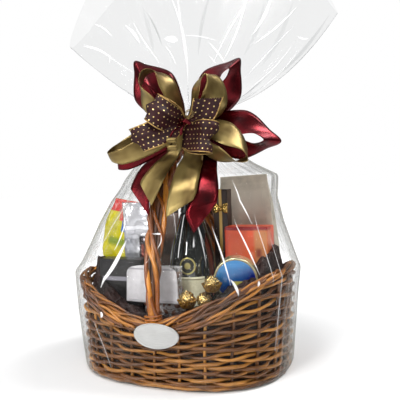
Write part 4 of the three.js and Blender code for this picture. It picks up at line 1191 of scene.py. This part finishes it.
def add_sweets_bag():
    """A clear bag full of round brown sweets, with a plain paper label on its front."""
    f = Finish("brown_sweets")
    tone = f.noise(f.place(), 55)
    sweets = f.solid(f.blend(tone, rgb(58, 34, 26), rgb(122, 82, 62)), 0.35, Normal=f.bump(tone, 0.3, 0.001))
    mesh = Mesh()
    place = posed(-8, -92, 152)
    local = np.random.default_rng(5)
    for row, col, layer in np.ndindex(7, 6, 2):
        depth = 12 * layer - 6
        at = np.array([-31 + col * 12.4 + (row % 2) * 4, depth, -44 + row * 13.4]) + local.normal(size=3)
        if abs(at[0]) < 34 and abs(at[2]) < 46:
            add_ball(mesh, place(at), 6.6, 12, 10, 0.5, row * 9 + col + depth)
    mesh.build("sweets_inside", [sweets], None, "clear_bag")
    add_bag("sweets_film", "sweets_bag", "clear_bag", (82, 108, 32), place, bag_film(), 1.6, 13)
    paper = print_finish("plain_label", (194, 192, 194), [
        (-50, 50, 61, 64, (150, 148, 152), 0.6), (-50, 50, 3, 5, (170, 168, 172), 0.6),
    ], 0.55, dents=0.12, scale=60, coat=0.1)
    add_label(paper)


def add_label(material):
    """A paper label with rounded upper corners, bowed over the bag behind it."""
    half, tall, corner = 55, 70, 13
    z = np.linspace(0, tall, 26)[:, None]
    below_top = np.maximum(0, corner ** 2 - np.maximum(0, z - tall + corner) ** 2)
    reach = half - (corner - np.sqrt(below_top))
    x = np.linspace(-1, 1, 34) * reach * (1 - 0.07 * z / tall)
    z = z - 6 * (x / half) ** 2 * (z / tall)
    y = 2.2 * (x / half) ** 2 + 0.5 * np.sin(x * 0.09 + z * 0.05)
    p = spots(x, y, z)
    mesh = Mesh()
    mesh.grid(posed(-23, -111, 139)(p), local=(p - (0, 10, 0)) * 0.001)
    mesh.build("paper_label", [material], "sweets_label", "white_paper", 0.5)


def add_ball(mesh, at, radius, around, rows, wobble, seed, pleats=0):
    """A dented ball. Pleats, if any, run out from the middle of its front."""
    theta = np.linspace(0.06, math.pi - 0.06, rows)[:, None]
    phi = turn_angles(around)
    way = spots(np.sin(theta) * np.cos(phi), np.sin(theta) * np.sin(phi), np.cos(theta))
    r = radius + crinkle(way * radius, wobble, radius * 0.45, seed + 100)
    if pleats:
        off_axis = np.hypot(way[..., 0], way[..., 2])
        r = r + 0.9 * off_axis ** 2 * np.cos(pleats * np.arctan2(way[..., 2], way[..., 0]) + off_axis * 3)
    mesh.put(way * r[..., None], lambda p: p + at, flip=True)


def add_foil_bow():
    """Two dented wings and a knot."""
    x0, y0, z0 = 70, 20, 304
    mesh = Mesh()
    t = np.linspace(0, 1, 20)[:, None]
    a = turn_angles(24)
    z = np.cos(a) * (3.2 + 6.6 * smoothstep(t, 0, 0.7)) * (1 + 0.08 * np.cos(a * 5))
    y = np.sin(a) * (3 + 2.2 * np.sin(t * math.pi)) * 0.8 - 4
    for side in (-1, 1):
        p = spots(side * t * 14.5, y, z)
        p = p + crinkle(p, 0.7, 4, 30 + side)[..., None] * (0, 0.6, 0.5)
        mesh.put(p, posed(x0, y0, z0), flip=side < 0)
    add_ball(mesh, (x0, y0 - 5.5, z0), 4.6, 16, 12, 0.4, 3)
    foil = foil_material("gold_foil_bow", (150, 110, 40), (236, 200, 118))
    mesh.build("foil_knot", [foil], "foil_bow", "gold_foil")


def add_bottle():
    place = posed(BOTTLE["x"], BOTTLE["y"], BOTTLE["z"])
    f = Finish("bottle_glass")
    ripple = f.noise(f.scaled(f.local(), (1, 1, 0.4)), 30, 2)
    glass = f.solid(f.blend(ripple, rgb(7, 9, 8), rgb(16, 20, 17)), 0.05, Normal=f.bump(ripple, 0.08, 0.002),
                    Coat_Weight=1.0, Coat_Roughness=0.02)
    r, s, n, c, h = (BOTTLE[key] for key in ("radius", "shoulder", "neck", "foil", "height"))
    profile = rounded([(0, 6), (r - 14, 3), (r - 8, 0), (r - 1.5, 0.5), (r, 6), (r, s), (r - 2, s + 18),
                       (r - 7, s + 42), (r - 17, s + 76), (n + 6, c - 2), (n + 3, c), (0, c)], 14, 6)
    turned(profile, 96, place).build("wine_bottle", [glass], "bottle", "dark_glass")
    profile = rounded([(0, c), (n + 6, c + 0.2), (n + 1.4, h - 42), (n, h - 24), (n + 3, h - 20),
                       (n + 3, h - 8), (n - 1, h - 1), (0, h)], 2)
    foil = print_finish("capsule_foil", (26, 26, 28), (), 0.3, 0.4, 0.3, 120)
    turned(profile, 72, place).build("capsule_cover", [foil], "bottle_foil", "capsule")


def add_bottle_label():
    """A cream label with four plain lines across it."""
    f = Finish("cream_label")
    spot = f.local()
    z = f.xyz(spot)[2]
    grain = f.noise(spot, 300)
    colour = f.blend(f.step(grain, 0.3, 0.7), rgb(214, 208, 174), rgb(232, 227, 197))
    for z0, z1 in ((0.1355, 0.137), (0.038, 0.0395), (0.088, 0.0888), (0.062, 0.0626)):
        colour = f.blend(f.inside(z, z0, z1, 0.0002), colour, rgb(120, 112, 70))
    cream = f.solid(colour, 0.55, Normal=f.bump(grain, 0.15, 0.0006))
    wrap_plate("cream_label", "bottle_label", "cream_label", cream, 42, (34, 141), False)


def add_bottle_emblem():
    """A plain gold ring round a gold disc."""
    f = Finish("emblem_gold")
    u, w, _ = f.xyz(f.local("cloth"))
    far = f.radius(u, w)
    mark = f.math("MAXIMUM", f.inside(far, 0.84, 1.1, 0.02), f.step(far, 0.36, 0.42, 0.6, 0))
    gold = f.solid(f.blend(mark, rgb(26, 28, 22), rgb(204, 190, 116)), 0.3, Metallic=mark * 0.75,
                   Normal=f.bump(mark, 0.5, 0.0008))
    wrap_plate("round_emblem", "bottle_emblem", "emblem", gold, 20, (146, 178), True)


def wrap_plate(name, node, slot, material, reach, heights, is_round):
    """A thin plate bent round the bottle's front, so many degrees to either side."""
    u, w = np.meshgrid(np.linspace(-1, 1, 44), np.linspace(-1, 1, 34))
    if is_round:
        u, w = u * np.sqrt(1 - w ** 2 / 2), w * np.sqrt(1 - u ** 2 / 2)
    faces = 11
    a = np.radians(u * reach - 90 + faces)
    z = sum(heights) / 2 + w * (heights[1] - heights[0]) / 2
    r = BOTTLE["radius"] + 0.75 - np.interp(z, [162, 180], [0, 2.0])
    p = spots(np.cos(a) * r, np.sin(a) * r, z)
    place = posed(BOTTLE["x"], BOTTLE["y"], BOTTLE["z"])
    Mesh().put(p, place, False, False, cloth=spots(u, w, 0)).build(name, [material], node, slot, 0.4)


def add_tin():
    """A round tin that leans back: a blue lid with painted light, lighter towards its upper left, and a pale
    rim.
    """
    f = Finish("blue_lacquer")
    x, y, _ = f.xyz(f.local())
    soft = f.noise(f.local(), 45)
    # painted light and shade: the lid is painted lighter towards its upper left and darker below and to the
    # right
    shade = f.step((y - x * 0.5) * 22.0 + 0.3 + soft * 0.7, 0.35, 1.25)
    blue = f.blend(shade, rgb(8, 24, 104), rgb(52, 128, 190))
    patch = f.inside(x, -0.006, 0.014, 0.001) * f.inside(y, -0.011, -0.003, 0.001)
    blue = f.blend(patch, blue, rgb(176, 168, 84))
    rim = f.step(f.radius(x, y), 0.0352, 0.0358)
    paint = f.solid(f.blend(rim, blue, rgb(206, 200, 160)), 0.18, Metallic=rim * 0.7, Coat_Weight=0.5,
                    Normal=f.bump(soft, 0.05, 0.001))
    r, d = TIN["radius"], TIN["thick"]
    lean = posed(0, 0, 0, tilt_x=90 + TIN["leans"])
    place = posed(TIN["x"], TIN["y"], TIN["z"], turn=TIN["faces"])
    profile = rounded([(0, 0), (r - 1.5, 0), (r, 1.5), (r - 0.8, d - 10), (r, d - 9), (r, d - 1),
                       (r - 1.5, d), (r - 4, d - 1), (0, d - 0.6)], 0.8)
    turned(profile, 96, lambda p: place(lean(p))).build("round_tin", [paint], "blue_tin", "blue_metal")


def add_sweets():
    foil = foil_material("sweet_foil", (150, 106, 30), (250, 226, 158), 0.2)
    crimped = foil_material("cup_paper", (84, 54, 18), (176, 136, 64), 0.4)
    for i, (*at, cup) in enumerate(SWEETS):
        add_sweet(i + 1, np.array(at), foil)
        if cup:
            add_cup(i + 1, at, crimped)


def add_sweet(number, at, foil):
    """A pleated ball of foil, with the twisted ends of its pleats on its front."""
    mesh = Mesh()
    add_ball(mesh, at, 13.6, 84, 56, 1.0, (number - 1) * 7, pleats=13)
    twist = np.linspace(0, 1, 16)
    r = 2 + 7 * twist
    for k in range(7):
        a = k / 7 * TAU + 0.3 + twist * 0.8
        path = at + spots(np.cos(a) * r, -13.2 + 0.10 * r ** 1.7, np.sin(a) * r + 1)
        tube(mesh, path, 0.9 * (1 - 0.6 * twist), 6, up=(0, 1, 0))
    mesh.build(f"foil_sweet_{number}", [foil], f"sweet_{number}", "gold_foil")


def add_cup(number, at, paper):
    """A crimped cup, open at the top."""
    folds = 30
    a = turn_angles(folds * 8)
    t = np.linspace(0, 1, 10)[:, None]
    r = 10 + 7.4 * t ** 0.8 + (0.2 + 1.0 * t) * np.cos(a * folds)
    p = spots(np.cos(a) * r, np.sin(a) * r, t * 15 - 15.2 + 0.4 * np.cos(a * 5))
    mesh = Mesh().put(p, posed(*at), ends=False)
    mesh.build(f"crimped_cup_{number}", [paper], f"sweet_cup_{number}", "crimped_cup", 0.4)


def tissue_material():
    f = Finish("dark_tissue")
    spot = f.place()
    fine = f.noise(spot, 170, 4, 0.6)
    colour = f.blend(f.step(f.noise(spot, 24), 0.35, 0.65), rgb(16, 5, 3), rgb(58, 28, 20))
    colour = f.blend(fine * 0.5, colour, rgb(10, 5, 4))
    ridge = f.cells(spot, 70, "DISTANCE_TO_EDGE")
    return f.solid(colour, 0.6, Normal=f.bump(fine + ridge * 1.5, 0.8, 0.004))


def add_tissue():
    """Crumpled dark tissue: a heaped sheet that rises to the walls and pokes out over the rim's ends."""
    rings, tucked, middle = 70, 24, 104
    a = turn_angles(300)
    rim = rim_height(a)
    crest = rim + 34 * np.abs(np.cos(a)) ** 6 + 6 * np.sin(a * 13) + 3 * np.sin(a * 37)
    slope = (rim + 112) / 2
    rows = []
    for t in np.linspace(0, 1, rings):
        if t < 0.12:
            z = 10 + (rim - tucked - 10) * t / 0.12
            scale = 0.985
        elif t < 0.36:
            w = (t - 0.12) / 0.24
            z = rim - tucked + (crest - rim + tucked) * w
            scale = 0.985 - 0.07 * w
        else:
            w = (t - 0.36) / 0.64
            z = crest + (slope - crest) * smoothstep(w, 0, 0.35) - (slope - middle) * smoothstep(w, 0.3, 0.9)
            scale = 0.915 * (1 - w) ** 0.8 + 0.01
        wall = wall_point(a, np.minimum(z, rim), 11.5)
        rows.append(spots(wall[:, 0] * scale, wall[:, 1] * scale, z))
    p = np.array(rows)
    # The paper lies heaped up under the foot of the folded bag at the back.
    aside = np.maximum(np.abs(p[..., 0] - 106) - 60, 0)
    away = np.maximum(np.abs(p[..., 1] - 70) - 16, 0)
    p[..., 2] += np.maximum(184 - p[..., 2], 0) * (1 - smoothstep(np.hypot(aside, away), 0, 30))
    depth = smoothstep(np.arange(rings) / rings, 0.06, 0.3)[:, None]
    p[..., 2] += (crinkle(p, 5.0, 11, 3) + 0.6 * np.abs(crinkle(p, 5.0, 5, 6))) * depth * 0.9
    p[..., :2] *= (1 - 0.012 * np.abs(crinkle(p, 3.0, 9, 12) * depth))[..., None]
    mesh = Mesh()
    mesh.grid(p, around=True, ends=True)
    mesh.build("crumpled_tissue", [tissue_material()], "tissue", "tissue")


add_camera()
add_lamps()
add_sky()
add_floor()
add_basket()
add_border()
add_handle()
add_tag()
add_tissue()
add_soft_packs()
add_cartons()
add_paper_bag()
add_sweets_bag()
add_foil_bow()
add_bottle()
add_bottle_label()
add_bottle_emblem()
add_tin()
add_sweets()
add_bow()
add_film()
add_film_glints()
